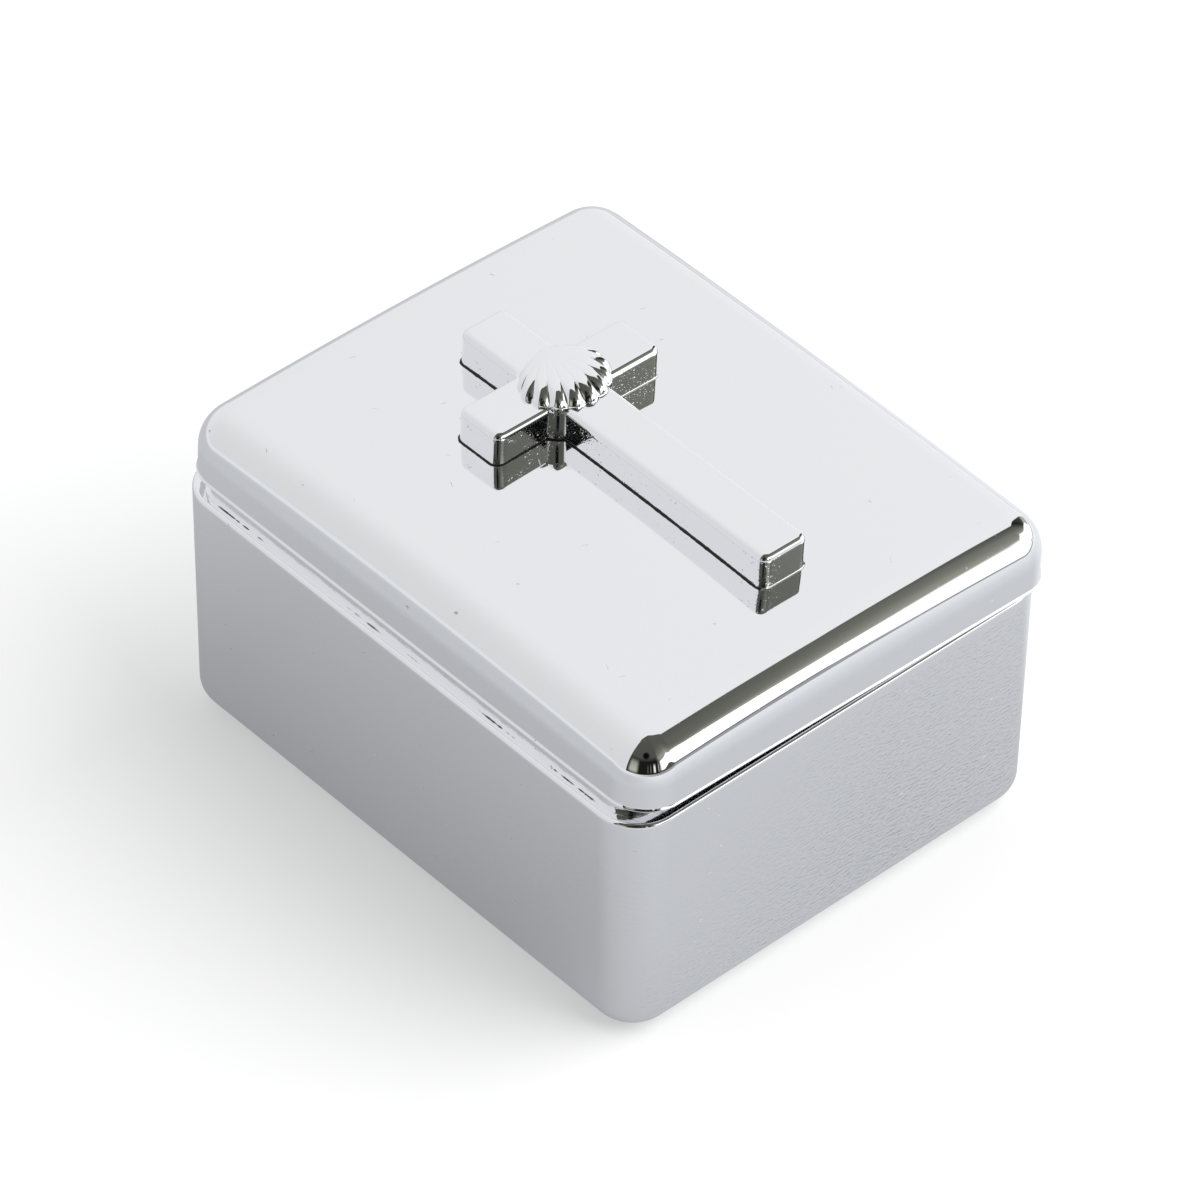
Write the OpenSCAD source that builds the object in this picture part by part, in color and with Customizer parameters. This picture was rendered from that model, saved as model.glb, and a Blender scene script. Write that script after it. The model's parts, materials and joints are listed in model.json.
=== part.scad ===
// Small plated keepsake box for a rosary, with a cross and a scallop shell on its hinged lid.
// X is the width, Y the length and Z is up. The origin is the middle of the underside.
// The lid is drawn closed, square to the body, and is then turned about the hinge to where it rests.

/* [Body] */
// Width of the box at the rim
body_w = 55; // [42:0.5:90]
// Length of the box at the rim
body_l = 67.2; // [56:0.1:110]
// Height of the casting up to the rim ledge
body_h = 28.55; // [18:0.05:50]
// Radius of the upright corners
body_corner_r = 4.9; // [4:0.1:8]
// Thickness of the walls at the rim
body_wall = 2.3; // [2.1:0.05:3]
// Thickness of the floor
floor_t = 2.2; // [1.6:0.1:4]
// Draft of the outer walls in degrees, narrower towards the foot
wall_draft = 0.8; // [0:0.1:2]
// Radius of the rounded foot edge
foot_r = 3; // [1:0.1:3.6]
// Radius of the small rounding on the rim
rim_r = 0.3; // [0.1:0.05:0.5]
// Radius of the inside edge round the floor
inner_foot_r = 1; // [0.4:0.1:1.6]

/* [Neck] */
// Height of the neck above the rim ledge
neck_h = 1.6; // [0.8:0.05:3]
// Width of the open ledge in front of the neck on the left side
neck_left_inset = 0.88; // [0.6:0.02:1.1]
// Room between the neck and the inside of the lid
neck_clear = 0.2; // [0.15:0.05:0.4]
// Gap left between the neck and the lid wall that rests over it
seat_gap = 0.1; // [0.05:0.05:0.3]
// Radius of the rounding on the neck
neck_r = 0.2; // [0.1:0.05:0.3]

/* [Lid] */
// Thickness of the lid's walls
lid_wall = 1.1; // [0.9:0.05:1.3]
// Thickness of the lid's top
lid_top_t = 1.5; // [1.3:0.1:2.5]
// Height of the lid from its lower edge to the top of the shoulder
lid_h = 7; // [6.4:0.1:14]
// Radius of the rounded shoulder
shoulder_r = 4.1; // [2.5:0.1:4.3]
// Radius of the lid's upright corners
lid_corner_r = 4.5; // [4.4:0.1:7]
// Rise of the crowned top along each direction
lid_crown = 0.88; // [0.3:0.02:1.5]
// Radius of the rounding on the lid's lower edge
lid_edge_r = 0.25; // [0.1:0.05:0.4]
// How much narrower than the body the lid is on each side
lid_trim_x = 0.15; // [0:0.05:0.2]
// How far the lid sits towards the hinge
lid_offset_x = 0.62; // [0.5:0.02:0.7]
// How far the lid sits towards the front
lid_offset_y = 0.22; // [0:0.02:0.3]
// Gap above the rim ledge at the hinge side
closed_gap = 0.25; // [0.2:0.05:0.5]

/* [Cross] */
// Width of the arms
arm_w = 5.95; // [5:0.05:7]
// Reach of each side arm from the crossing
side_reach = 10.75; // [8:0.05:14]
// Reach of the head from the crossing
head_reach = 11.5; // [8:0.05:14]
// Reach of the foot from the crossing
foot_reach = 32.3; // [20:0.1:32.6]
// Distance of the crossing from the middle of the lid
crossing_y = 8.9; // [7:0.1:10]
// Height of the cross above the middle of the lid
cross_relief = 3.65; // [2.5:0.05:5]
// Radius of the rounding round the top of the cross
cross_edge_r = 0.8; // [0.3:0.05:1]
// Radius of the cross's outer corners
cross_corner_r = 1; // [0.8:0.05:1.4]
// Radius of the cross's inner corners
cross_inner_r = 0.5; // [0.2:0.05:0.8]
// Depth of the cross's seat where the lid is lowest
seat_depth = 0.15; // [0.1:0.01:0.25]
// Clearance round the cross in its seat
seat_clear = 0.05; // [0.03:0.01:0.1]

/* [Scallop shell] */
// Radius of the shell out to the ends of its ribs
shell_r = 5.25; // [4.9:0.05:5.5]
// Height of the shell above the cross
shell_h = 1.9; // [1.2:0.05:3]
// Number of ribs
shell_ribs = 13; // [9:2:17]
// Half angle of the ribbed fan
shell_fan = 139; // [125:1:155]
// How far the middle of the shell lies from the crossing, towards the head
shell_shift = 0.1; // [0:0.05:0.3]
// Distance of the straight hinge edge from the middle of the shell
shell_hinge_y = 4.4; // [4:0.1:4.8]
// Distance of the two slanting sides beside the hinge from the middle of the shell
shell_side = 3.9; // [3.6:0.1:4.4]
// Turn of the slanting sides away from the hinge edge
shell_side_turn = 32; // [20:1:40]
// Distance of the umbo from the middle of the shell
shell_umbo_y = 2.5; // [1.5:0.1:3]
// How far the grooves cut into the edge
shell_scallop = 0.34; // [0.15:0.01:0.45]
// Depth of the grooves near the edge
shell_groove = 0.5; // [0.2:0.05:0.7]
// Share of the way from the umbo at which the grooves begin to deepen
shell_smooth = 0.6; // [0.3:0.05:0.7]
// How far the shell's edge hangs down in the cross's inner corners
shell_lip = 0.7; // [0.5:0.05:1.2]
// Radius of the round skirt in the cross's two inner corners beside the foot
skirt_r = 5.25; // [4.9:0.05:5.5]

/* [Studs] */
// Diameter of the studs that hold the cross and the shell
stud_d = 2; // [1.6:0.1:2.4]
// Diameter of the peened head inside the lid
stud_head_d = 3.4; // [3:0.1:4]
// Thickness of the peened head
stud_head_t = 0.5; // [0.3:0.05:0.7]
// Distance of the cross's own stud from the crossing, towards the foot
foot_stud_y = 21; // [12:0.5:26]
// Clearance round a stud
stud_clear = 0.05; // [0.03:0.01:0.1]

/* [Hinge] */
// Length of the hinge
hinge_l = 22; // [16:0.5:32]
// Outer diameter of the knuckles
knuckle_d = 3; // [2.6:0.1:3.6]
// Diameter of the hinge pin
pin_d = 1.5; // [1.2:0.05:1.7]
// Clearance round the pin
pin_clear = 0.05; // [0.03:0.01:0.09]
// Gap between neighbouring knuckles
knuckle_gap = 0.2; // [0.1:0.05:0.4]
// Share of the hinge's length that the middle knuckle takes
middle_share = 0.4; // [0.3:0.02:0.5]
// Thickness of the leaves
leaf_t = 0.8; // [0.6:0.05:1]
// Height of each leaf along its wall
body_leaf_h = 5.5; // [4:0.1:8]
// Height of the lid's leaf
lid_leaf_h = 2.7; // [2.5:0.1:2.85]
// Gap between a knuckle and the walls behind it
knuckle_wall_gap = 0.3; // [0.2:0.05:0.5]
// Diameter of the pin's heads
pin_head_d = 2.2; // [1.9:0.1:2.8]
// Thickness of the pin's heads
pin_head_t = 0.5; // [0.3:0.05:0.8]

/* [Lining and felt] */
// Thickness of the flocked wall lining
lining_t = 0.9; // [0.6:0.05:1.4]
// How far the wall lining stays below the top of the neck
lining_drop = 0.5; // [0.2:0.1:1.5]
// Clearance between a lining and the metal
lining_clear = 0.1; // [0.05:0.01:0.2]
// Thickness of the floor pad at its middle
floor_pad_t = 2.6; // [2:0.1:4]
// Thickness of the lid pad at its middle
lid_pad_t = 1.4; // [1:0.1:1.8]
// Radius of the rounded edge of the pads
pad_edge_r = 0.6; // [0.4:0.05:0.9]
// Clearance round the pads
pad_clear = 0.3; // [0.2:0.05:0.5]
// Thickness of the felt under the box
felt_t = 1; // [0.8:0.05:1.2]
// How far the felt stands below the casting
felt_proud = 0.2; // [0.1:0.05:0.4]
// Width of the metal border round the felt
felt_border = 5; // [4:0.1:8]
// Clearance round the felt in its recess
felt_clear = 0.1; // [0.05:0.01:0.2]

/* [Hidden] */

// Fineness of the curves
corner_steps = 6;
side_steps = 4;
edge_steps = 4;
shoulder_steps = 7;
round_fn = 48;
// Segments across one rib, and across the plain stretch at the shell's hinge edge
rib_steps = 6;
hinge_edge_steps = 12;
// Roundness of the crests, and how tightly the shell's outline turns from one line into the next
shell_crest = 1.8;
shell_blend = 5;

// Levels of the body
rim_z = felt_proud + body_h;
floor_z = felt_proud + floor_t;
neck_z = rim_z + neck_h;

// Outlines seen from above, each as left, front, right and back
body_box = [-body_w / 2, -body_l / 2, body_w / 2, body_l / 2];
cavity_box = inset_box(body_box, body_wall);
neck_inset = lid_wall + lid_offset_y + neck_clear;
neck_box = [body_box[0] + neck_left_inset, body_box[1] + neck_inset, body_box[2] - neck_inset, body_box[3] - neck_inset];
lid_box = [
    body_box[0] + lid_trim_x + lid_offset_x, body_box[1] - lid_offset_y,
    body_box[2] - lid_trim_x + lid_offset_x, body_box[3] - lid_offset_y
];

// Lid levels, with the lid closed
lid_z = rim_z + closed_gap;
shoulder_z = lid_z + lid_h;
lid_mid_x = (lid_box[0] + lid_box[2]) / 2;
lid_mid_y = (lid_box[1] + lid_box[3]) / 2;
cross_x = lid_mid_x;
cross_y = lid_mid_y + crossing_y;
cross_seat_z = lid_top(cross_x + arm_w / 2, cross_y - foot_reach) - seat_depth;
cross_top_z = lid_top(lid_mid_x, lid_mid_y) + cross_relief;
lid_under_z = shoulder_z - lid_top_t;

// Hinge axis, outside the lid's right-hand wall
knuckle_r = knuckle_d / 2;
bore_r = pin_d / 2 + pin_clear;
hinge_x = lid_box[2] + knuckle_wall_gap + knuckle_r;
hinge_z = lid_z;
leaf_x = lid_box[2];
middle_l = hinge_l * middle_share;
outer_l = (hinge_l - middle_l) / 2 - knuckle_gap;
leaf_reach = knuckle_r + knuckle_wall_gap;
// How far each leaf's tongue stops short of the level of the pin
tongue_drop = 0.5;

// The lid's left wall comes to rest over the neck, which holds the lid this many degrees open
lid_ajar = asin((neck_z + seat_gap - hinge_z) / (hinge_x - lid_box[0] - lid_wall));

function inset_box(b, d) = [b[0] + d, b[1] + d, b[2] - d, b[3] - d];

// Height of the crowned top over a point, beyond the shoulder
function lid_crown_at(x, y) = lid_crown * (2 - pow((x - lid_mid_x) / (lid_box[2] - lid_mid_x), 2)
    - pow((y - lid_mid_y) / (lid_box[3] - lid_mid_y), 2));
function lid_top(x, y) = shoulder_z + lid_crown_at(x, y);
function lid_under(x, y) = lid_under_z + lid_crown_at(x, y);

// Points round a rectangle with round corners, anticlockwise from its front right corner
function round_box(b, r) = let (
    corners = [
        [b[2] - r, b[1] + r, -90], [b[2] - r, b[3] - r, 0], [b[0] + r, b[3] - r, 90], [b[0] + r, b[1] + r, 180]
    ],
    arcs = [for (c = corners) [for (k = [0:corner_steps]) let (a = c[2] + 90 * k / corner_steps)
        [c[0] + r * cos(a), c[1] + r * sin(a)]]]
) [for (k = [0:3]) each concat(arcs[k], [for (s = [1:side_steps - 1])
    arcs[k][corner_steps] + (arcs[(k + 1) % 4][0] - arcs[k][corner_steps]) * s / side_steps])];

// The same outline inset by d at height z
function box_ring(b, r, d, z) = [for (p = round_box(inset_box(b, d), max(r - d, 0.05))) [p[0], p[1], z]];

// Rings round an edge of radius r that turns from upright to level, going in and up
function edge_rings(b, corner, r, z, steps) = [for (k = [0:steps]) let (a = 90 * k / steps)
    box_ring(b, corner, r * (1 - cos(a)), z + r * sin(a))];

// Rings from a shoulder inward to the middle, at heights given by the crown
function crown_rings(b, corner, r, z, lift, steps, inner) = concat(
    [for (k = [0:steps]) let (a = 90 * k / steps)
        [for (p = round_box(inset_box(b, r * (1 - cos(a))), max(corner - r * (1 - cos(a)), 0.05)))
            [p[0], p[1], z + r * sin(a) + lift * sin(a) * lid_crown_at(p[0], p[1])]]],
    [for (k = [1:inner - 1]) let (
        s = 1 - k / inner,
        last = inset_box(b, r),
        mid = [(b[0] + b[2]) / 2, (b[1] + b[3]) / 2]
    ) [for (p = round_box(last, max(corner - r, 0.05))) let (q = mid + (p - mid) * s)
        [q[0], q[1], z + r + lift * lid_crown_at(q[0], q[1])]]]
);

// Closed skin over rings of equally many points, with a middle point at each end
module skin(rings, first, last) {
    n = len(rings[0]);
    count = len(rings);
    points = concat([for (ring = rings) each ring], [first, last]);
    polyhedron(
        points = points,
        faces = concat(
            [for (k = [0:n - 1]) [n * count, k, (k + 1) % n]],
            [for (i = [0:count - 2], k = [0:n - 1]) each [
                [i * n + k, (i + 1) * n + k, (i + 1) * n + (k + 1) % n],
                [i * n + k, (i + 1) * n + (k + 1) % n, i * n + (k + 1) % n]
            ]],
            [for (k = [0:n - 1]) [n * count + 1, (count - 1) * n + (k + 1) % n, (count - 1) * n + k]]
        )
    );
}

// Puts a piece of the closed lid where the lid rests
module on_lid() {
    translate([hinge_x, 0, hinge_z])
        rotate([0, lid_ajar, 0])
            translate([-hinge_x, 0, -hinge_z])
                children();
}

// Cast box with drafted walls, round foot, rim ledge, neck and hinge seat
module box_body() {
    felt_box = inset_box(body_box, felt_border);
    felt_corner = body_corner_r;
    recess_z = felt_t;
    foot_inset = (body_h - foot_r) * tan(wall_draft);
    foot_rings = [for (k = [0:edge_steps]) let (a = 90 - 90 * k / edge_steps)
        box_ring(body_box, body_corner_r, foot_inset + foot_r * (1 - cos(a)), felt_proud + foot_r * (1 - sin(a)))];
    rings = concat(
        [
            box_ring(felt_box, felt_corner, 0, recess_z),
            box_ring(felt_box, felt_corner, 0, felt_proud)
        ],
        foot_rings,
        edge_rings(body_box, body_corner_r, rim_r, rim_z - rim_r, 3),
        [box_ring(neck_box, body_corner_r - neck_left_inset, 0, rim_z)],
        edge_rings(neck_box, body_corner_r - neck_left_inset, neck_r, neck_z - neck_r, 2),
        [
            box_ring(cavity_box, body_corner_r - body_wall, 0, neck_z),
            box_ring(cavity_box, body_corner_r - body_wall, 0, floor_z + inner_foot_r)
        ],
        [for (k = [1:3]) let (a = 90 * k / 3)
            box_ring(cavity_box, body_corner_r - body_wall, inner_foot_r * (1 - cos(a)),
                floor_z + inner_foot_r * (1 - sin(a)))]
    );
    color([0.80, 0.80, 0.82])
        union() {
            skin(rings, [0, 0, recess_z], [0, 0, floor_z]);
            hinge_seat();
        }
}

// Flat pad on the right-hand wall that brings the body's hinge leaf level with the lid's wall
module hinge_seat() {
    seat_top = rim_z - rim_r;
    seat_bottom = hinge_z - leaf_reach - body_leaf_h - seat_rim;
    translate([body_w / 2 - body_wall / 2, -hinge_l / 2 - seat_rim, seat_bottom])
        cube([leaf_x - body_w / 2 + body_wall / 2, hinge_l + 2 * seat_rim, seat_top - seat_bottom]);
}
// Border of the hinge seat round the leaf
seat_rim = 0.6;

// Cast lid with a round shoulder, a crowned top, the cross's seat and the stud holes
module lid() {
    inner_box = inset_box(lid_box, lid_wall);
    inner_r = lid_corner_r - lid_wall;
    inner_shoulder_r = shoulder_r - lid_wall;
    inside = crown_rings(inner_box, inner_r, inner_shoulder_r, lid_under_z - inner_shoulder_r, 1, 4, 5);
    count = len(inside);
    rings = concat(
        [for (k = [count - 1:-1:0]) inside[k]],
        [box_ring(inner_box, inner_r, 0, lid_z)],
        [for (k = [0:2]) let (a = 90 - 90 * k / 2)
            box_ring(lid_box, lid_corner_r, lid_edge_r * (1 - cos(a)), lid_z + lid_edge_r * (1 - sin(a)))],
        crown_rings(lid_box, lid_corner_r, shoulder_r, shoulder_z - shoulder_r, 1, shoulder_steps, 6)
    );
    color([0.86, 0.86, 0.88])
        on_lid()
            difference() {
                skin(rings, [lid_mid_x, lid_mid_y, lid_under(lid_mid_x, lid_mid_y)],
                    [lid_mid_x, lid_mid_y, lid_top(lid_mid_x, lid_mid_y)]);
                translate([cross_x, cross_y, cross_seat_z])
                    linear_extrude(cross_relief)
                        polygon(cross_outline(-seat_clear));
                stud_holes(lid_z);
            }
}

// Holes for both studs, from height z upward
module stud_holes(z) {
    for (y = [cross_y, cross_y - foot_stud_y])
        translate([cross_x, y, z])
            cylinder(h = cross_top_z - z, r = stud_d / 2 + stud_clear, $fn = round_fn);
}

// Outline of the cross round its crossing, inset by d
function cross_outline(d) = let (
    w = arm_w / 2,
    turns = [
        [w, -foot_reach, -90, 1], [w, -w, 0, -1], [side_reach, -w, -90, 1], [side_reach, w, 0, 1],
        [w, w, 90, -1], [w, head_reach, 0, 1], [-w, head_reach, 90, 1], [-w, w, 180, -1],
        [-side_reach, w, 90, 1], [-side_reach, -w, 180, 1], [-w, -w, 270, -1], [-w, -foot_reach, 180, 1]
    ]
) [for (t = turns) let (
    r = t[3] > 0 ? cross_corner_r : cross_inner_r,
    before = [cos(t[2]), sin(t[2])],
    after = [cos(t[2] + 90 * t[3]), sin(t[2] + 90 * t[3])],
    centre = [t[0], t[1]] - (before + after) * r * t[3],
    start = t[3] > 0 ? t[2] : t[2] + 180
) each [for (k = [0:edge_steps]) let (a = start + 90 * t[3] * k / edge_steps)
    centre + [cos(a), sin(a)] * max(r - d * t[3], 0.05)]];

// Cast cross with rounded top edges, on a stud near its foot
module cross() {
    levels = concat(
        [[0, cross_seat_z]],
        [for (k = [0:edge_steps]) let (a = 90 * k / edge_steps)
            [cross_edge_r * (1 - cos(a)), cross_top_z - cross_edge_r * (1 - sin(a))]]
    );
    rings = [for (v = levels) [for (p = cross_outline(v[0])) [p[0] + cross_x, p[1] + cross_y, v[1]]]];
    color([0.88, 0.88, 0.90])
        on_lid() {
            difference() {
                skin(rings, [cross_x, cross_y, cross_seat_z], [cross_x, cross_y, cross_top_z]);
                translate([cross_x, cross_y, cross_seat_z - stud_d])
                    cylinder(h = cross_relief * 2 + stud_d, r = stud_d / 2 + stud_clear, $fn = round_fn);
            }
            stud(cross_y - foot_stud_y, cross_seat_z);
        }
}

// Stud that hangs from height z, with its peened head under the lid
module stud(y, z) {
    head_z = lid_under(cross_x + stud_head_d / 2, y - stud_head_d / 2) - stud_clear - stud_head_t;
    translate([cross_x, y, head_z]) {
        cylinder(h = z - head_z, d = stud_d, $fn = round_fn);
        cylinder(h = stud_head_t, d = stud_head_d, $fn = round_fn);
    }
}

// Place across one rib, from -1 in one groove over 0 on the crest to 1 in the next
function rib_place(t) = let (s = (t + shell_fan) * shell_ribs / (2 * shell_fan)) 2 * (s - floor(s)) - 1;

// Relief of the ribs at an angle from the front, 0 on a crest and 1 in a groove
function rib_relief(t) = abs(t) > shell_fan - 0.001 ? 1 : pow(abs(rib_place(t)), shell_crest);

// Share of the way from the shell's middle to its plain outline: a circle, two slanting sides and
// a straight hinge edge, blended where they meet
function shell_share(p) = let (
    circle = norm(p) / shell_r,
    side = max(abs(p[0]) * sin(shell_side_turn) + p[1] * cos(shell_side_turn), 0) / shell_side,
    hinge = max(p[1], 0) / shell_hinge_y
) pow(pow(circle, shell_blend) + pow(side, shell_blend) + pow(hinge, shell_blend), 1 / shell_blend);

// Plain outline at an angle from the front
function shell_outline(t) = let (way = [sin(t), -cos(t)]) way / shell_share(way);

// Height of the shell over the cross at a share of the way to the outline
function shell_dome(q) = shell_h * pow(max(1 - pow(q, 4), 0), 0.6);

// Ring of points at share s of the way from the umbo to the edge
function shell_ring(s) = [for (t = shell_angles) let (
    umbo = [0, shell_umbo_y],
    plain = shell_outline(t),
    relief = rib_relief(t > 180 ? t - 360 : t),
    edge = plain * (1 - shell_scallop * relief / norm(plain)),
    p = umbo + (edge - umbo) * s,
    q = min(shell_share(umbo + (plain - umbo) * s), 1),
    deepen = pow(max(s - shell_smooth, 0) / (1 - shell_smooth), 2),
    fall = shell_groove * relief * deepen * sqrt(max(1 - pow(q, 6), 0))
) [p[0], p[1], max(shell_dome(q) - fall, 0)]];

// Angles round the shell, so that every crest and groove has a point
shell_angles = concat(
    [for (k = [0:shell_ribs * rib_steps]) -shell_fan + 2 * shell_fan * k / (shell_ribs * rib_steps)],
    [for (k = [1:hinge_edge_steps - 1]) shell_fan + 2 * (180 - shell_fan) * k / hinge_edge_steps]
);

// Round skirt of height h in front of the crossing. The shell's back doesn't reach the other corners.
module skirt(h) {
    intersection() {
        cylinder(h = h, r = skirt_r, $fn = round_fn * 2);
        translate([-skirt_r, -skirt_r, 0])
            cube([2 * skirt_r, skirt_r, h]);
    }
}

// Fluted shell over the crossing, with its skirt down to the lid in the inner corners and a stud
module scallop_shell() {
    shares = [1, 0.985, 0.95, 0.9, 0.84, 0.77, 0.69, 0.6, 0.45, 0.3, 0.15];
    skirt_z = lid_top(cross_x, cross_y) + seat_clear;
    lip = [for (p = shell_ring(1)) [p[0], p[1], -shell_lip]];
    dome = [for (s = shares) shell_ring(s)];
    color([0.90, 0.90, 0.91])
        on_lid() {
            difference() {
                union() {
                    translate([cross_x, cross_y + shell_shift, cross_top_z])
                        skin(concat([lip], dome), [0, 0, -shell_lip],
                            [0, shell_umbo_y, shell_dome(shell_share([0, shell_umbo_y]))]);
                    translate([cross_x, cross_y, skirt_z])
                        skirt(cross_top_z - shell_lip / 2 - skirt_z);
                }
                translate([cross_x, cross_y, skirt_z - 1])
                    linear_extrude(cross_top_z - skirt_z + 1)
                        polygon(cross_outline(-seat_clear));
            }
            stud(cross_y, cross_top_z + shell_h / 2);
        }
}

// Knuckle along Y from y0 to y1, without its bore
module knuckle(y0, y1) {
    translate([hinge_x, y1, hinge_z])
        rotate([90, 0, 0])
            cylinder(h = y1 - y0, r = knuckle_r, $fn = round_fn);
}

// Bore for the pin through the whole hinge
module pin_bore() {
    translate([hinge_x, hinge_l, hinge_z])
        rotate([90, 0, 0])
            cylinder(h = hinge_l * 2, r = bore_r, $fn = round_fn);
}

// Leaf on the body, with the two outer knuckles
module body_hinge_leaf() {
    color([0.78, 0.78, 0.80])
        difference() {
            union() {
                translate([leaf_x, -hinge_l / 2, hinge_z - leaf_reach - body_leaf_h])
                    cube([leaf_t, hinge_l, body_leaf_h]);
                for (y = [-hinge_l / 2, hinge_l / 2 - outer_l]) {
                    translate([leaf_x, y, hinge_z - leaf_reach - leaf_t])
                        cube([leaf_t, outer_l, leaf_reach + leaf_t - tongue_drop]);
                    knuckle(y, y + outer_l);
                }
            }
            pin_bore();
        }
}

// Leaf on the lid, with the middle knuckle
module lid_hinge_leaf() {
    color([0.78, 0.78, 0.80])
        on_lid()
            difference() {
                union() {
                    translate([leaf_x, -hinge_l / 2, hinge_z + leaf_reach])
                        cube([leaf_t, hinge_l, lid_leaf_h - leaf_reach]);
                    translate([leaf_x, -middle_l / 2, hinge_z + tongue_drop])
                        cube([leaf_t, middle_l, lid_leaf_h - tongue_drop]);
                    knuckle(-middle_l / 2, middle_l / 2);
                }
                pin_bore();
            }
}

// Pin through the three knuckles, with a low head at each end
module hinge_pin() {
    color([0.70, 0.70, 0.72])
        translate([hinge_x, hinge_l / 2, hinge_z])
            rotate([90, 0, 0]) {
                cylinder(h = hinge_l, d = pin_d, $fn = round_fn);
                translate([0, 0, -pin_head_t])
                    cylinder(h = pin_head_t, d = pin_head_d, $fn = round_fn);
                translate([0, 0, hinge_l])
                    cylinder(h = pin_head_t, d = pin_head_d, $fn = round_fn);
            }
}

// Flocked lining round the inside of the walls
module wall_lining() {
    outer = inset_box(cavity_box, lining_clear);
    outer_r = body_corner_r - body_wall - lining_clear;
    bottom = floor_z + inner_foot_r;
    color([0.12, 0.15, 0.30])
        translate([0, 0, bottom])
            linear_extrude(neck_z - lining_drop - bottom)
                difference() {
                    polygon(round_box(outer, outer_r));
                    polygon(round_box(inset_box(outer, lining_t), max(outer_r - lining_t, 0.3)));
                }
}

// Pad with a rounded edge and a crowned face. It lies between z and z + thick, with its face up.
module pad(b, corner, z, thick) {
    rise = thick - 2 * pad_edge_r;
    mid = [(b[0] + b[2]) / 2, (b[1] + b[3]) / 2];
    inner = 5;
    last = inset_box(b, pad_edge_r);
    under = [for (k = [0:2]) let (a = 90 - 45 * k)
        box_ring(b, corner, pad_edge_r * (1 - cos(a)), z + pad_edge_r * (1 - sin(a)))];
    over = [for (k = [1:3]) let (a = 30 * k)
        box_ring(b, corner, pad_edge_r * (1 - cos(a)), z + pad_edge_r * (1 + sin(a)))];
    face = [for (k = [1:inner - 1]) let (s = 1 - k / inner)
        [for (p = round_box(last, max(corner - pad_edge_r, 0.05))) let (q = mid + (p - mid) * s)
            [q[0], q[1], z + 2 * pad_edge_r + rise * (1 - pow(s, 4))]]];
    skin(concat(under, over, face), [mid[0], mid[1], z], [mid[0], mid[1], z + thick]);
}

// Velvet cushion on the floor of the box
module floor_pad() {
    inset = lining_clear + lining_t + pad_clear;
    color([0.14, 0.17, 0.34])
        pad(inset_box(cavity_box, inset), max(body_corner_r - body_wall - inset, 0.8), floor_z, floor_pad_t);
}

// Velvet panel inside the lid, face down
module lid_pad() {
    inset = shoulder_r + pad_clear;
    color([0.14, 0.17, 0.34])
        on_lid()
            translate([0, 0, lid_under_z])
                mirror([0, 0, 1])
                    pad(inset_box(lid_box, inset), 0.8, 0, lid_pad_t);
}

// Felt let into the underside, which the box stands on
module base_felt() {
    color([0.10, 0.10, 0.12])
        linear_extrude(felt_t - felt_clear / 2)
            polygon(round_box(inset_box(body_box, felt_border + felt_clear), body_corner_r - felt_clear));
}

box_body();
lid();
cross();
scallop_shell();
body_hinge_leaf();
lid_hinge_leaf();
hinge_pin();
wall_lining();
floor_pad();
lid_pad();
base_felt();
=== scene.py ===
"""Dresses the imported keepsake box: plated castings, hinge, velvet cushions and felt, in a light tent.

Sizes in the classes are millimetres, as in the part's source. Meshes are made in metres, in the
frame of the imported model, and every piece sits at the origin with its place in its mesh.
"""

import json
import logging
import math
from dataclasses import dataclass
from enum import Enum
from functools import partialmethod
from typing import Callable, Mapping, Sequence

import bmesh
import bpy
import numpy as np
from mathutils import Matrix, Vector

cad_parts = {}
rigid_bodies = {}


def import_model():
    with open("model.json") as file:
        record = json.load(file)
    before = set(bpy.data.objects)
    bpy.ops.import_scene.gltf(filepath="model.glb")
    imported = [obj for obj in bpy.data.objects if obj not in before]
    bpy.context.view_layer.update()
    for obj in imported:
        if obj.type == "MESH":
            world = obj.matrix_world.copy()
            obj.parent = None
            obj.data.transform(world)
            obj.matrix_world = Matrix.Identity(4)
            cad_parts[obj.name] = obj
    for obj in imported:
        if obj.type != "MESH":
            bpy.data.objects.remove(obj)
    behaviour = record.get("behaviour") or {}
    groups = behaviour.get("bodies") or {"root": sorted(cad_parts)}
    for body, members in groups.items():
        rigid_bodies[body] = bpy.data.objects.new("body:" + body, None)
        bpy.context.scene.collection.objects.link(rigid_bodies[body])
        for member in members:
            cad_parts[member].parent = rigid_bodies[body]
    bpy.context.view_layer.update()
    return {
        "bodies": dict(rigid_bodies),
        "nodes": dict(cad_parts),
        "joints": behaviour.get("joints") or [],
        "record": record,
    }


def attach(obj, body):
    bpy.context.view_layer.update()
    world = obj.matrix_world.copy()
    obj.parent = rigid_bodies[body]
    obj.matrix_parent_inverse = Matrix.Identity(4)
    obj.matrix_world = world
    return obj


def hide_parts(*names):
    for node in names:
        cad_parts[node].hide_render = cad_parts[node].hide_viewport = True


LOG = logging.getLogger("keepsake_box")
MM = 0.001
Piece, Mesh, Material = bpy.types.Object, bpy.types.Mesh, bpy.types.Material
Node, NodeTree, Socket = bpy.types.Node, bpy.types.NodeTree, bpy.types.NodeSocket
Colour = tuple[float, float, float]


# Sizes


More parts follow.
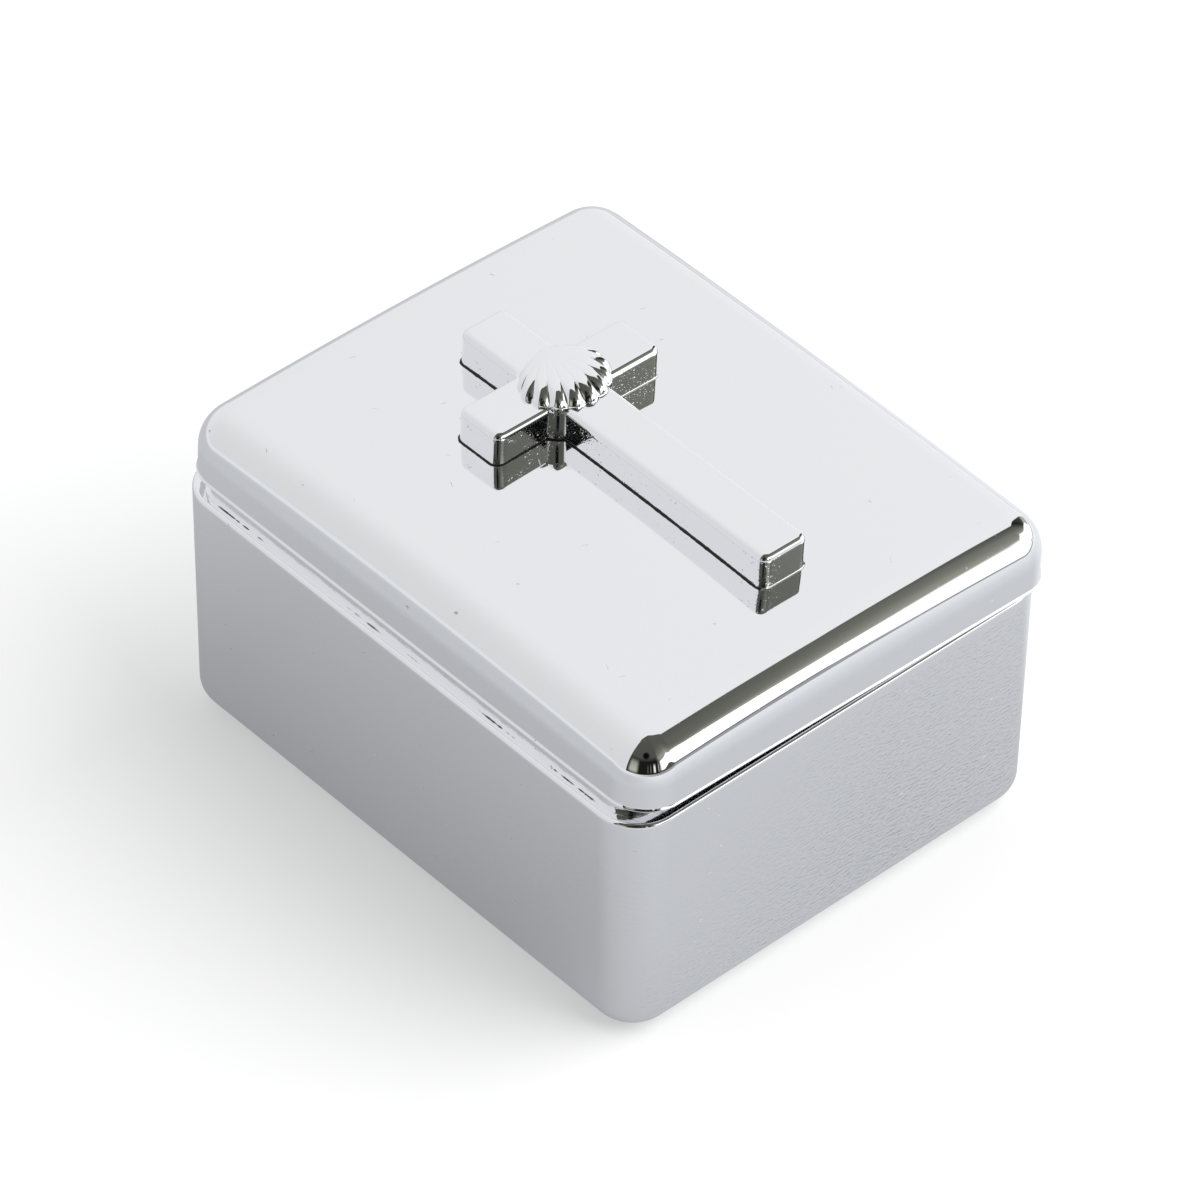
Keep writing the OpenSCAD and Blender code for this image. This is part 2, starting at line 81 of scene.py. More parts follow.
@dataclass(frozen=True)
class Outline:
    """Rectangle with round corners seen from above, in millimetres."""

    left: float
    front: float
    right: float
    back: float
    corner: float

    def inset(self, by: float) -> "Outline":
        """Gives the outline moved inwards.

        Args:
            by: Distance in millimetres.

        Returns:
            The smaller outline, with its corner radius reduced by as much.
        """
        corner = max(self.corner - by, 0.05)
        return Outline(self.left + by, self.front + by, self.right - by, self.back - by, corner)

    def with_corner(self, corner: float) -> "Outline":
        """Gives the same rectangle with another corner radius."""
        return Outline(self.left, self.front, self.right, self.back, corner)

    @property
    def middle(self) -> tuple[float, float]:
        """Middle of the rectangle."""
        return (self.left + self.right) / 2, (self.front + self.back) / 2

    def points(self, corner_steps: int = 16, side_steps: int = 28) -> np.ndarray:
        """Walks round the outline, anticlockwise from its front right corner.

        Args:
            corner_steps: Segments in each corner.
            side_steps: Segments along each side.

        Returns:
            One row of x and y for each point.
        """
        r = self.corner
        centres = (
            (self.right - r, self.front + r, -90),
            (self.right - r, self.back - r, 0),
            (self.left + r, self.back - r, 90),
            (self.left + r, self.front + r, 180),
        )
        arcs = []
        for x, y, start in centres:
            a = np.radians(start + np.linspace(0, 90, corner_steps + 1))
            arcs.append(np.column_stack((x + r * np.cos(a), y + r * np.sin(a))))
        rows = []
        for k, arc in enumerate(arcs):
            following = arcs[(k + 1) % 4][0]
            share = np.linspace(0, 1, side_steps + 1)[1:-1, None]
            rows += [arc, arc[-1] + (following - arc[-1]) * share]
        return np.concatenate(rows)


@dataclass(frozen=True)
class BoxSizes:
    """Sizes that more than one piece of the box depends on."""

    width: float = 55.0
    length: float = 67.2
    height: float = 28.55
    corner: float = 4.9
    wall: float = 2.3
    floor: float = 2.2
    felt_proud: float = 0.2
    neck_height: float = 1.6
    neck_left: float = 0.88
    neck_clear: float = 0.2
    seat_gap: float = 0.1
    lid_wall: float = 1.1
    lid_top: float = 1.5
    lid_height: float = 7.0
    lid_shoulder: float = 4.1
    lid_corner: float = 4.5
    lid_crown: float = 0.88
    lid_trim: float = 0.15
    lid_right: float = 0.62
    lid_front: float = 0.22
    closed_gap: float = 0.25
    knuckle_gap: float = 0.3
    knuckle: float = 1.5
    inner_foot: float = 1.0
    felt_depth: float = 1.0
    felt_border: float = 5.0

    @property
    def rim(self) -> float:
        """Height of the rim ledge."""
        return self.felt_proud + self.height

    @property
    def neck_top(self) -> float:
        """Height of the neck's top."""
        return self.rim + self.neck_height

    @property
    def body(self) -> Outline:
        """Outline of the box at its rim."""
        w, l = self.width / 2, self.length / 2
        return Outline(-w, -l, w, l, self.corner)

    @property
    def cavity(self) -> Outline:
        """Outline of the inside of the box."""
        return self.body.inset(self.wall)

    @property
    def neck(self) -> Outline:
        """Outline of the neck that stands on the rim."""
        inset = self.lid_wall + self.lid_front + self.neck_clear
        b = self.body
        return Outline(
            b.left + self.neck_left, b.front + inset, b.right - inset, b.back - inset,
            self.corner - self.neck_left
        )

    @property
    def lid(self) -> Outline:
        """Outline of the lid before it is turned about the hinge."""
        b = self.body
        return Outline(
            b.left + self.lid_trim + self.lid_right,
            b.front - self.lid_front,
            b.right - self.lid_trim + self.lid_right,
            b.back - self.lid_front,
            self.lid_corner,
        )

    @property
    def lid_base(self) -> float:
        """Height of the closed lid's lower edge."""
        return self.rim + self.closed_gap

    @property
    def shoulder(self) -> float:
        """Height of the top of the closed lid's shoulder."""
        return self.lid_base + self.lid_height

    @property
    def hinge(self) -> tuple[float, float]:
        """Place of the hinge axis in x and z."""
        return self.lid.right + self.knuckle_gap + self.knuckle, self.lid_base

    @property
    def ajar(self) -> float:
        """Angle in radians at which the lid rests on the neck."""
        x, z = self.hinge
        return math.asin((self.neck_top + self.seat_gap - z) / (x - self.lid.left - self.lid_wall))

    def crown(self, x: np.ndarray | float, y: np.ndarray | float) -> np.ndarray | float:
        """Rise of the lid's crowned top over a place in the closed lid."""
        mx, my = self.lid.middle
        return self.lid_crown * (
            2 - ((x - mx) / (self.lid.right - mx)) ** 2 - ((y - my) / (self.lid.back - my)) ** 2
        )

    def lid_surface(self, x: np.ndarray | float, y: np.ndarray | float) -> np.ndarray | float:
        """Height of the lid's top over a place in the closed lid."""
        return self.shoulder + self.crown(x, y)

    def lid_ceiling(self, x: np.ndarray | float, y: np.ndarray | float) -> np.ndarray | float:
        """Height of the inside of the lid's top over a place in the closed lid."""
        return self.lid_surface(x, y) - self.lid_top

    def open_lid(self, points: np.ndarray) -> np.ndarray:
        """Turns places in the closed lid to where the lid rests.

        Args:
            points: Rows of x, y and z in millimetres.

        Returns:
            The turned rows.
        """
        x0, z0 = self.hinge
        c, s = math.cos(self.ajar), math.sin(self.ajar)
        x, z = points[:, 0] - x0, points[:, 2] - z0
        return np.column_stack((x0 + x * c + z * s, points[:, 1], z0 - x * s + z * c))


@dataclass(frozen=True)
class CrossSizes:
    """Sizes of the cross, from its crossing."""

    arm: float = 5.95
    side: float = 10.75
    head: float = 11.5
    foot: float = 32.3
    crossing: float = 8.9
    relief: float = 3.65
    edge: float = 0.8
    outer: float = 1.0
    inner: float = 0.5
    flare: float = 0.16

    def outline(self, inset: float, steps: int = 10, spacing: float = 0.5) -> np.ndarray:
        """Walks round the cross, anticlockwise from the right corner of its foot.

        Args:
            inset: How far inside the cross's sides the walk goes, in millimetres.
            steps: Segments in each corner.
            spacing: Longest gap between points on the sides.

        Returns:
            Rows of x and y from the crossing, and the outward x and y at each.
        """
        w = self.arm / 2
        turns = (
            (w, -self.foot, -90, 1), (w, -w, 0, -1), (self.side, -w, -90, 1), (self.side, w, 0, 1),
            (w, w, 90, -1), (w, self.head, 0, 1), (-w, self.head, 90, 1), (-w, w, 180, -1),
            (-self.side, w, 90, 1), (-self.side, -w, 180, 1), (-w, -w, 270, -1), (-w, -self.foot, 180, 1),
        )
        arcs = []
        for x, y, begin, way in turns:
            r = self.outer if way > 0 else self.inner
            before = np.array([math.cos(math.radians(begin)), math.sin(math.radians(begin))])
            after = np.array(
                [math.cos(math.radians(begin + 90 * way)), math.sin(math.radians(begin + 90 * way))]
            )
            centre = np.array([x, y]) - (before + after) * r * way
            a = np.radians((begin if way > 0 else begin + 180) + np.linspace(0, 90 * way, steps + 1))
            out = np.column_stack((np.cos(a), np.sin(a)))
            arcs.append(np.hstack((centre + out * max(r - inset * way, 0.04), out * way)))
        rows = []
        for k, arc in enumerate(arcs):
            following, there = arcs[(k + 1) % 12], turns[(k + 1) % 12]
            side = math.hypot(there[0] - turns[k][0], there[1] - turns[k][1])
            share = np.linspace(0, 1, max(4, round(side / spacing)) + 1)[1:-1, None]
            rows += [arc, arc[-1] + (following[0] - arc[-1]) * share]
        return np.concatenate(rows)


# Meshes


def in_scene(name: str, data: bpy.types.ID) -> Piece:
    """Makes an object and links it to the scene."""
    made = bpy.data.objects.new(name, data)
    bpy.context.scene.collection.objects.link(made)
    return made


def evaluated(piece: Piece) -> Mesh:
    """Gives a new mesh with a piece's modifiers applied."""
    graph = bpy.context.evaluated_depsgraph_get()
    graph.update()
    return bpy.data.meshes.new_from_object(piece.evaluated_get(graph), depsgraph=graph)


def coordinates(mesh: Mesh) -> np.ndarray:
    """Rows of x, y and z of a mesh's points."""
    flat = np.empty(len(mesh.vertices) * 3)
    mesh.vertices.foreach_get("co", flat)
    return flat.reshape(-1, 3)


def new_mesh(
    name: str, points: np.ndarray, faces: Sequence[tuple[int, ...]], edges: Sequence[tuple[int, int]] = ()
) -> Mesh:
    """Makes a mesh.

    Args:
        name: Name of the mesh.
        points: Rows of x, y and z in millimetres.
        faces: Numbers of the points of each face.
        edges: Numbers of the points of each edge that has no face.

    Returns:
        The mesh.
    """
    mesh = bpy.data.meshes.new(name)
    mesh.from_pydata((points * MM).tolist(), list(edges), list(faces))
    return mesh


def band(low: int, high: int, count: int) -> list[tuple[int, int, int, int]]:
    """Faces between two rings of count points, by the numbers of their first points."""
    return [(low + k, low + (k + 1) % count, high + (k + 1) % count, high + k) for k in range(count)]


class Solid:
    """Closed meshes from rings of equally many points."""

    @staticmethod
    def loft(name: str, rings: Sequence[np.ndarray], first: Sequence[float], last: Sequence[float]) -> Piece:
        """Joins rings into one closed skin.

        Args:
            name: Name of the piece.
            rings: Rows of x, y and z in millimetres, one array for each ring.
            first: Middle point that closes the first ring.
            last: Middle point that closes the last ring.

        Returns:
            The new object.
        """
        n, count = len(rings[0]), len(rings)
        faces = [(n * count, (k + 1) % n, k) for k in range(n)]
        for i in range(count - 1):
            faces += band(i * n, (i + 1) * n, n)
        top = (count - 1) * n
        faces += [(n * count + 1, top + k, top + (k + 1) % n) for k in range(n)]
        return Solid.finish(name, new_mesh(name, np.concatenate([*rings, [first], [last]]), faces))

    @staticmethod
    def tube(name: str, rings: Sequence[np.ndarray]) -> Piece:
        """Joins rings into a closed skin whose last ring meets its first.

        Args:
            name: Name of the piece.
            rings: Rows of x, y and z in millimetres, one array for each ring.

        Returns:
            The new object.
        """
        n, count = len(rings[0]), len(rings)
        faces = []
        for i in range(count):
            faces += band(i * n, ((i + 1) % count) * n, n)
        return Solid.finish(name, new_mesh(name, np.concatenate(rings), faces))

    @staticmethod
    def turned(
        name: str, profile: Sequence[tuple[float, float]], place: Callable[[np.ndarray], np.ndarray],
        steps: int = 56
    ) -> Piece:
        """Turns a profile about its axis.

        Args:
            name: Name of the piece.
            profile: Pairs of radius and way along the axis. A profile that starts and ends on the axis
                is closed there, and any other is closed back to its first pair.
            place: Moves rows of x, y and way along the axis to where the piece stands.
            steps: Segments round the axis.

        Returns:
            The new object.
        """
        a = np.linspace(0, 2 * math.pi, steps, endpoint=False)
        solid = profile[0][0] == 0
        inner = profile[1:-1] if solid else profile
        rings = [place(np.column_stack((r * np.cos(a), r * np.sin(a), np.full(steps, z)))) for r, z in inner]
        if not solid:
            return Solid.tube(name, rings)
        ends = place(np.array([[0, 0, profile[0][1]], [0, 0, profile[-1][1]]]))
        return Solid.loft(name, rings, ends[0], ends[1])

    @staticmethod
    def block(name: str, low: Sequence[float], high: Sequence[float], edge: float) -> Piece:
        """Makes a plate with rounded edges.

        Args:
            name: Name of the piece.
            low: Lowest corner in millimetres.
            high: Highest corner in millimetres.
            edge: Radius of the edges in millimetres.

        Returns:
            The new object.
        """
        bm = bmesh.new()
        bmesh.ops.create_cube(bm, size=1.0)
        for v in bm.verts:
            v.co = Vector([(low[i] if v.co[i] < 0 else high[i]) * MM for i in range(3)])
        bmesh.ops.bevel(bm, geom=bm.edges[:], offset=edge * MM, segments=4, profile=0.5, affect="EDGES")
        mesh = bpy.data.meshes.new(name)
        bm.to_mesh(mesh)
        bm.free()
        return Solid.finish(name, mesh)

    @staticmethod
    def shift(piece: Piece, place: Callable[[np.ndarray], np.ndarray]) -> Piece:
        """Moves a piece's points by a rule in millimetres and gives the piece."""
        moved = place(coordinates(piece.data) / MM) * MM
        piece.data.vertices.foreach_set("co", moved.ravel())
        piece.data.update()
        return piece

    @staticmethod
    def finish(name: str, mesh: Mesh, sharp: float = 40.0) -> Piece:
        """Points faces outwards, shades them smooth and makes the object.

        Args:
            name: Name of the piece.
            mesh: The mesh.
            sharp: Angle in degrees from which an edge stays sharp.

        Returns:
            The new object.
        """
        bm = bmesh.new()
        bm.from_mesh(mesh)
        bmesh.ops.remove_doubles(bm, verts=bm.verts, dist=1e-7)
        bmesh.ops.recalc_face_normals(bm, faces=bm.faces)
        bm.to_mesh(mesh)
        bm.free()
        mesh.validate()
        mesh.shade_smooth()
        mesh.set_sharp_from_angle(angle=math.radians(sharp))
        return in_scene(name, mesh)

    @staticmethod
    def settle(piece: Piece) -> Piece:
        """Applies a piece's modifiers, with normals weighted by face size.

        Args:
            piece: The piece, with or without modifiers.

        Returns:
            The same piece with a plain mesh.
        """
        weighted = piece.modifiers.new("weighted normals", "WEIGHTED_NORMAL")
        weighted.keep_sharp = True
        weighted.weight = 50
        mesh = evaluated(piece)
        piece.modifiers.clear()
        piece.data = mesh
        mesh.name = piece.name
        return piece

    @staticmethod
    def join(name: str, pieces: Sequence[Piece]) -> Piece:
        """Joins objects into one with a new name, each face with its own material."""
        bm = bmesh.new()
        used: list[Material] = []
        for piece in pieces:
            part = evaluated(piece)
            used += [m for m in part.materials if m and m not in used]
            places = [used.index(m) if m else 0 for m in part.materials]
            first = len(bm.faces)
            bm.from_mesh(part)
            bm.faces.ensure_lookup_table()
            for face in bm.faces[first:]:
                face.material_index = places[face.material_index] if places else 0
            bpy.data.meshes.remove(part)
        mesh = bpy.data.meshes.new(name)
        bm.to_mesh(mesh)
        bm.free()
        for material in used:
            mesh.materials.append(material)
        for piece in pieces:
            bpy.data.objects.remove(piece)
        return in_scene(name, mesh)


def ring(outline: Outline, z: float | np.ndarray) -> np.ndarray:
    """Points of an outline at one height or at a height for each."""
    flat = outline.points()
    return np.column_stack((flat, np.broadcast_to(z, len(flat))))


def eased(
    outline: Outline, radius: float, z: float, steps: int, way: int, rising: bool = True, start: float = 0.0
) -> list[np.ndarray]:
    """Rings over a rounded edge.

    Args:
        outline: Outline outside the edge.
        radius: Radius of the edge in millimetres.
        z: Height of the flat that the edge ends at.
        steps: Segments over the edge.
        way: 1 where the edge rises from the flat, -1 where it falls from it.
        rising: Whether the rings go from the outline to the flat.
        start: How far inside the outline the edge begins, in millimetres.

    Returns:
        The rings.
    """
    return [
        ring(outline.inset(start + radius * (1 - math.cos(a))), z + way * radius * (1 - math.sin(a)))
        for a in quarter(steps, rising)
    ]


def quarter(steps: int, rising: bool = True) -> np.ndarray:
    """Angles of a quarter turn in radians, from 0 up or from a right angle down."""
    turn = np.linspace(0, math.pi / 2, steps + 1)
    return turn if rising else turn[::-1]


# Node trees


class Wires:
    """Writes a node tree as plain expressions. Each method adds a node and gives its output."""

    def __init__(self, tree: NodeTree) -> None:
        """Takes the tree that it writes in."""
        self.tree = tree

    def node(self, kind: str, **inputs: object) -> Node:
        """Adds a node and fills its inputs.

        Args:
            kind: Blender's name of the node.
            **inputs: Values or outputs by input name, with underscores for spaces.

        Returns:
            The node.
        """
        made = self.tree.nodes.new(kind)
        for name, value in inputs.items():
            self.set(made.inputs[name.replace("_", " ")], value)
        return made

    def set(self, socket: Socket, value: object) -> None:
        """Links an output to an input, or writes a plain value there."""
        if isinstance(value, Socket):
            self.tree.links.new(value, socket)
        else:
            socket.default_value = value

    def math(self, operation: str, *values: object) -> Socket:
        """One arithmetic step."""
        made = self.tree.nodes.new("ShaderNodeMath")
        made.operation = operation
        for socket, value in zip(made.inputs, values):
            self.set(socket, value)
        return made.outputs[0]

    # The arithmetic steps by name, each with the values that math takes
    plus, minus = partialmethod(math, "ADD"), partialmethod(math, "SUBTRACT")
    times, divided = partialmethod(math, "MULTIPLY"), partialmethod(math, "DIVIDE")
    larger, smaller = partialmethod(math, "MAXIMUM"), partialmethod(math, "MINIMUM")
    power, root = partialmethod(math, "POWER"), partialmethod(math, "SQRT")
    absolute = partialmethod(math, "ABSOLUTE")

    def length(self, x: Socket, y: Socket) -> Socket:
        """Length of the way across and along."""
        return self.root(self.plus(self.times(x, x), self.times(y, y)))

    def millimetres(self, place: Socket) -> tuple[Socket, Socket, Socket]:
        """X, y and z of a place in metres, as millimetres."""
        return self.split(self.vector("MULTIPLY", place, (1000.0, 1000.0, 1000.0)))

    def normal(self) -> tuple[Socket, Socket, Socket]:
        """X, y and z of the surface's direction, in the object's frame."""
        return self.split(self.node("ShaderNodeTexCoord").outputs["Normal"])

    def degrees(self, angle: Socket) -> Socket:
        """An angle in radians, as degrees."""
        return self.times(angle, 180 / math.pi)

    def bump(self, height: Socket, strength: float = 1.0) -> Socket:
        """Direction of a surface with a height in millimetres."""
        return self.node("ShaderNodeBump", Strength=strength, Distance=MM, Height=height).outputs[0]

    def mixed(self, share: object, first: Node, second: Node) -> Node:
        """Mixes two shaders."""
        made = self.node("ShaderNodeMixShader", Fac=share)
        for socket, shader in zip(list(made.inputs)[1:], (first, second)):
            self.set(socket, shader.outputs[0])
        return made

    def tinted(self, level: Socket, red: float, green: float, blue: float) -> Socket:
        """Colour of one brightness with a share for each channel."""
        shares = {"Red": red, "Green": green, "Blue": blue}
        parts = {name: self.times(level, share) for name, share in shares.items()}
        return self.node("ShaderNodeCombineColor", **parts).outputs[0]

    def vector(self, operation: str, *values: object) -> Socket:
        """One vector step, whose result is a vector."""
        made = self.tree.nodes.new("ShaderNodeVectorMath")
        made.operation = operation
        for socket, value in zip(made.inputs, values):
            self.set(socket, value)
        return made.outputs[0]

    def ramp(
        self, value: object, low: float, high: float, at_low: object = 0.0, at_high: object = 1.0
    ) -> Socket:
        """Smooth step of a value between two limits.

        Args:
            value: The value.
            low: Limit at which the result is at_low.
            high: Limit at which the result is at_high.
            at_low: Result at or beyond the low limit.
            at_high: Result at or beyond the high limit.

        Returns:
            The result.
        """
        made = self.tree.nodes.new("ShaderNodeMapRange")
        made.interpolation_type = "SMOOTHSTEP"
        for socket, given in zip(made.inputs, (value, low, high, at_low, at_high)):
            self.set(socket, given)
        return made.outputs[0]

    def track(self, value: object, *stations: tuple[float, float]) -> Socket:
        """Straight runs from station to station, level before the first and after the last.

        Args:
            value: The value.
            *stations: Pairs of a value and the result there.

        Returns:
            The result.
        """
        total: object = stations[0][1]
        for (low, at_low), (high, at_high) in zip(stations, stations[1:]):
            run = self.tree.nodes.new("ShaderNodeMapRange")
            for socket, given in zip(run.inputs, (value, low, high, 0.0, at_high - at_low)):
                self.set(socket, given)
            total = self.plus(run.outputs[0], total)
        return total

    def outline_gap(
        self, x: Socket, y: Socket, middle: tuple[float, float], half: tuple[float, float], corner: float
    ) -> Socket:
        """Distance from a rectangle with round corners, negative inside it.

        Args:
            x: Place across.
            y: Place along.
            middle: Middle of the rectangle.
            half: Half its width and half its length.
            corner: Radius of its corners.

        Returns:
            The distance.
        """
        ax = self.minus(self.absolute(self.minus(x, middle[0])), half[0] - corner)
        ay = self.minus(self.absolute(self.minus(y, middle[1])), half[1] - corner)
        ox, oy = self.larger(ax, 0.0), self.larger(ay, 0.0)
        outside = self.length(ox, oy)
        within = self.smaller(self.larger(ax, ay), 0.0)
        return self.minus(self.plus(outside, within), corner)

    def split(self, vector: Socket) -> tuple[Socket, Socket, Socket]:
        """X, y and z of a vector."""
        made = self.node("ShaderNodeSeparateXYZ", Vector=vector)
        return made.outputs[0], made.outputs[1], made.outputs[2]

    def noise(self, vector: Socket, scale: object, detail: float = 2.0, rough: float = 0.5) -> Socket:
        """Cloudy pattern from 0 to 1."""
        made = self.node("ShaderNodeTexNoise", Vector=vector, Scale=scale, Detail=detail, Roughness=rough)
        return made.outputs["Fac"]

    def cells(self, vector: Socket, scale: float) -> tuple[Socket, Socket]:
        """Distance to the nearest of many scattered points, and that point's own chance value."""
        made = self.node("ShaderNodeTexVoronoi", Vector=vector, Scale=scale)
        return made.outputs["Distance"], self.split(made.outputs["Color"])[0]

    def blend(self, share: object, first: object, second: object) -> Socket:
        """Mixes two colours."""
        made = self.tree.nodes.new("ShaderNodeMix")
        made.data_type = "RGBA"
        self.set(made.inputs["Factor"], share)
        self.set([s for s in made.inputs if s.type == "RGBA"][0], first)
        self.set([s for s in made.inputs if s.type == "RGBA"][1], second)
        return [s for s in made.outputs if s.type == "RGBA"][0]

    def group(self, tree: NodeTree, **inputs: object) -> Node:
        """Places a shared node group and fills its inputs."""
        made = self.tree.nodes.new("ShaderNodeGroup")
        made.node_tree = tree
        for name, value in inputs.items():
            self.set(made.inputs[name.replace("_", " ")], value)
        return made


class ShapeTree:
    """A Geometry Nodes tree with named inputs, whose result becomes a plain mesh."""

    KINDS = {float: "NodeSocketFloat", int: "NodeSocketInt", type(None): "NodeSocketGeometry"}

    def __init__(self, name: str, inputs: dict[str, object]) -> None:
        """Starts the tree.

        Args:
            name: Name of the tree.
            inputs: First value of each input, or None for the mesh that the tree works on.
        """
        self.tree = bpy.data.node_groups.new(name, "GeometryNodeTree")
        for label, value in inputs.items():
            kind = self.KINDS.get(type(value), "NodeSocketMaterial")
            socket = self.tree.interface.new_socket(label, in_out="INPUT", socket_type=kind)
            if isinstance(value, (float, int)):
                socket.default_value = value
        self.tree.interface.new_socket("Geometry", in_out="OUTPUT", socket_type="NodeSocketGeometry")
        self.start = self.tree.nodes.new("NodeGroupInput")
        self.wires = Wires(self.tree)

    def given(self, label: str) -> Socket:
        """Value of a named input inside the tree."""
        return self.start.outputs[label]

    def close(self, geometry: Socket, material: Socket) -> None:
        """Ends the tree with real, painted faces."""
        real = self.wires.node("GeometryNodeRealizeInstances", Geometry=geometry)
        painted = self.wires.node("GeometryNodeSetMaterial", Geometry=real.outputs[0], Material=material)
        end = self.tree.nodes.new("NodeGroupOutput")
        self.tree.links.new(painted.outputs[0], end.inputs[0])

    def piece(self, name: str, values: dict[str, object], source: Mesh | None = None) -> Piece:
        """Runs the tree once.

        Args:
            name: Name of the piece.
            values: Values by input name.
            source: Mesh that the tree works on, where it needs one.

        Returns:
            An object with a plain mesh and no modifier.
        """
        made = in_scene(name, source or bpy.data.meshes.new(name))
        modifier = made.modifiers.new(self.tree.name, "NODES")
        modifier.node_group = self.tree
        for item in self.tree.interface.items_tree:
            if item.item_type == "SOCKET" and item.in_out == "INPUT" and item.name in values:
                modifier[item.identifier] = values[item.name]
        mesh = evaluated(made)
        made.modifiers.clear()
        made.data = mesh
        mesh.name = name
        return made


Given = Mapping[str, Socket]
Results = dict[str, Socket]


class SharedEffect:
    """A shader group over a place, built at its first use and then shared.

    It stands before the function that writes the group, whose name then gives the group's tree.
    """

    def __init__(self, name: str, **inputs: float) -> None:
        """Takes the group's name and the values that its inputs beside the place start with."""
        self.name, self.inputs = name, inputs
        self.tree: NodeTree | None = None

    def __call__(self, write: Callable[[Wires, Given], Results]) -> Callable[[], NodeTree]:
        """Takes the function that writes the group and gives the one that gets it."""
        self.write = write
        return self.get

    def get(self) -> NodeTree:
        """Gives the group's tree, and builds it at its first use.

        Returns:
            The tree.
        """
        if self.tree:
            return self.tree
        self.tree = tree = bpy.data.node_groups.new(self.name, "ShaderNodeTree")
        tree.interface.new_socket("Place", in_out="INPUT", socket_type="NodeSocketVector")
        for label, first in self.inputs.items():
            socket = tree.interface.new_socket(label, in_out="INPUT", socket_type="NodeSocketFloat")
            socket.default_value = first
        results = self.write(Wires(tree), tree.nodes.new("NodeGroupInput").outputs)
        for label in results:
            tree.interface.new_socket(label, in_out="OUTPUT", socket_type="NodeSocketFloat")
        end = tree.nodes.new("NodeGroupOutput")
        for label, result in results.items():
            tree.links.new(result, end.inputs[label])
        return tree


@SharedEffect("cast ripple", Swell=0.004, Grain=0.001)
def cast_ripple(w: Wires, given: Given) -> Results:
    """Writes the fine unevenness of plating over a casting.

    Args:
        w: Wires of the group.
        given: Values that it is given, by name.

    Returns:
        The Height in millimetres.
    """
    place = given["Place"]
    slow = w.noise(place, 90.0, 1.0, 0.4)
    fine = w.noise(place, 1500.0, 2.0, 0.55)
    where = w.ramp(w.noise(place, 45.0, 2.0, 0.5), 0.35, 0.7, 0.35, 1.0)
    broad = w.times(slow, given["Swell"])
    grain = w.times(w.times(fine, where), given["Grain"])
    return {"Height": w.plus(broad, grain)}


@SharedEffect("lint and marks", Amount=1.0)
def lint_and_marks(w: Wires, given: Given) -> Results:
    """Writes stray lint and short scuffs on a polished surface.

    Args:
        w: Wires of the group.
        given: Values that it is given, by name.

    Returns:
        The masks Lint and Scuffs.
    """
    place = given["Place"]
    found: list[Socket] = []
    for turn, stretch, scale, share in (
        (0.5, 7.0, 130.0, 0.30), (2.1, 9.0, 110.0, 0.26), (1.2, 1.6, 210.0, 0.22)
    ):
        turned = w.node("ShaderNodeVectorRotate", Vector=place, Angle=turn)
        turned.rotation_type = "Z_AXIS"
        long = w.vector("MULTIPLY", turned.outputs[0], (1.0, stretch, 1.0 + stretch * 0.4))
        gap, chance = w.cells(long, scale)
        near = w.ramp(gap, 0.03, 0.075, 1.0, 0.0)
        found.append(w.times(near, w.math("LESS_THAN", chance, w.times(given["Amount"], share))))
    lint = w.larger(w.larger(found[0], found[1]), found[2])
    rubbed = w.vector("MULTIPLY", place, (1.0, 0.12, 1.0))
    scuffs = w.ramp(w.noise(rubbed, 2600.0, 1.0, 0.4), 0.66, 0.74)
    return {"Lint": lint, "Scuffs": scuffs}


@SharedEffect("cast pits", Depth=0.01)
def cast_pits(w: Wires, given: Given) -> Results:
    """Writes the small pits of a rough casting under its plating, with painted glints.

    Args:
        w: Wires of the group.
        given: Values that it is given, by name.

    Returns:
        The Height in millimetres, never above 0, and the mask of painted highlights in the pits, Glints.
    """
    total: Socket | None = None
    for scale, share in ((2400.0, 0.45), (4300.0, 0.6)):
        gap, chance = w.cells(given["Place"], scale)
        hole = w.times(w.ramp(gap, 0.05, 0.42, 1.0, 0.0), w.math("LESS_THAN", chance, share))
        total = hole if total is None else w.larger(total, hole)
    # Pale dots where the pits would glint: painted highlights
    near, chance = w.cells(given["Place"], 1900.0)
    glints = w.times(w.ramp(near, 0.14, 0.24, 1.0, 0.0), w.math("LESS_THAN", chance, 0.42))
    depth = w.times(given["Depth"], -1.0)
    return {"Height": w.times(total, depth), "Specks": glints}


@SharedEffect("closed lid place")
def closed_lid_place(w: Wires, given: Given) -> Results:
    """Writes places in the frame of the closed lid.

    Args:
        w: Wires of the group.
        given: Values that it is given, by name.

    Returns:
        The way Right and Back from the lid's middle and Up from its lower edge, in millimetres.
    """
    sizes = BoxSizes()
    mx, my = sizes.lid.middle
    x0, z0 = sizes.hinge
    c, s = math.cos(sizes.ajar), math.sin(sizes.ajar)
    x, y, z = w.millimetres(given["Place"])
    dx, dz = w.minus(x, x0), w.minus(z, z0)
    flat_x = w.minus(w.times(dx, c), w.times(dz, s))
    flat_z = w.plus(w.times(dx, s), w.times(dz, c))
    return {
        "Right": w.plus(flat_x, x0 - mx), "Back": w.minus(y, my),
        "Up": w.plus(flat_z, z0 - sizes.lid_base),
    }


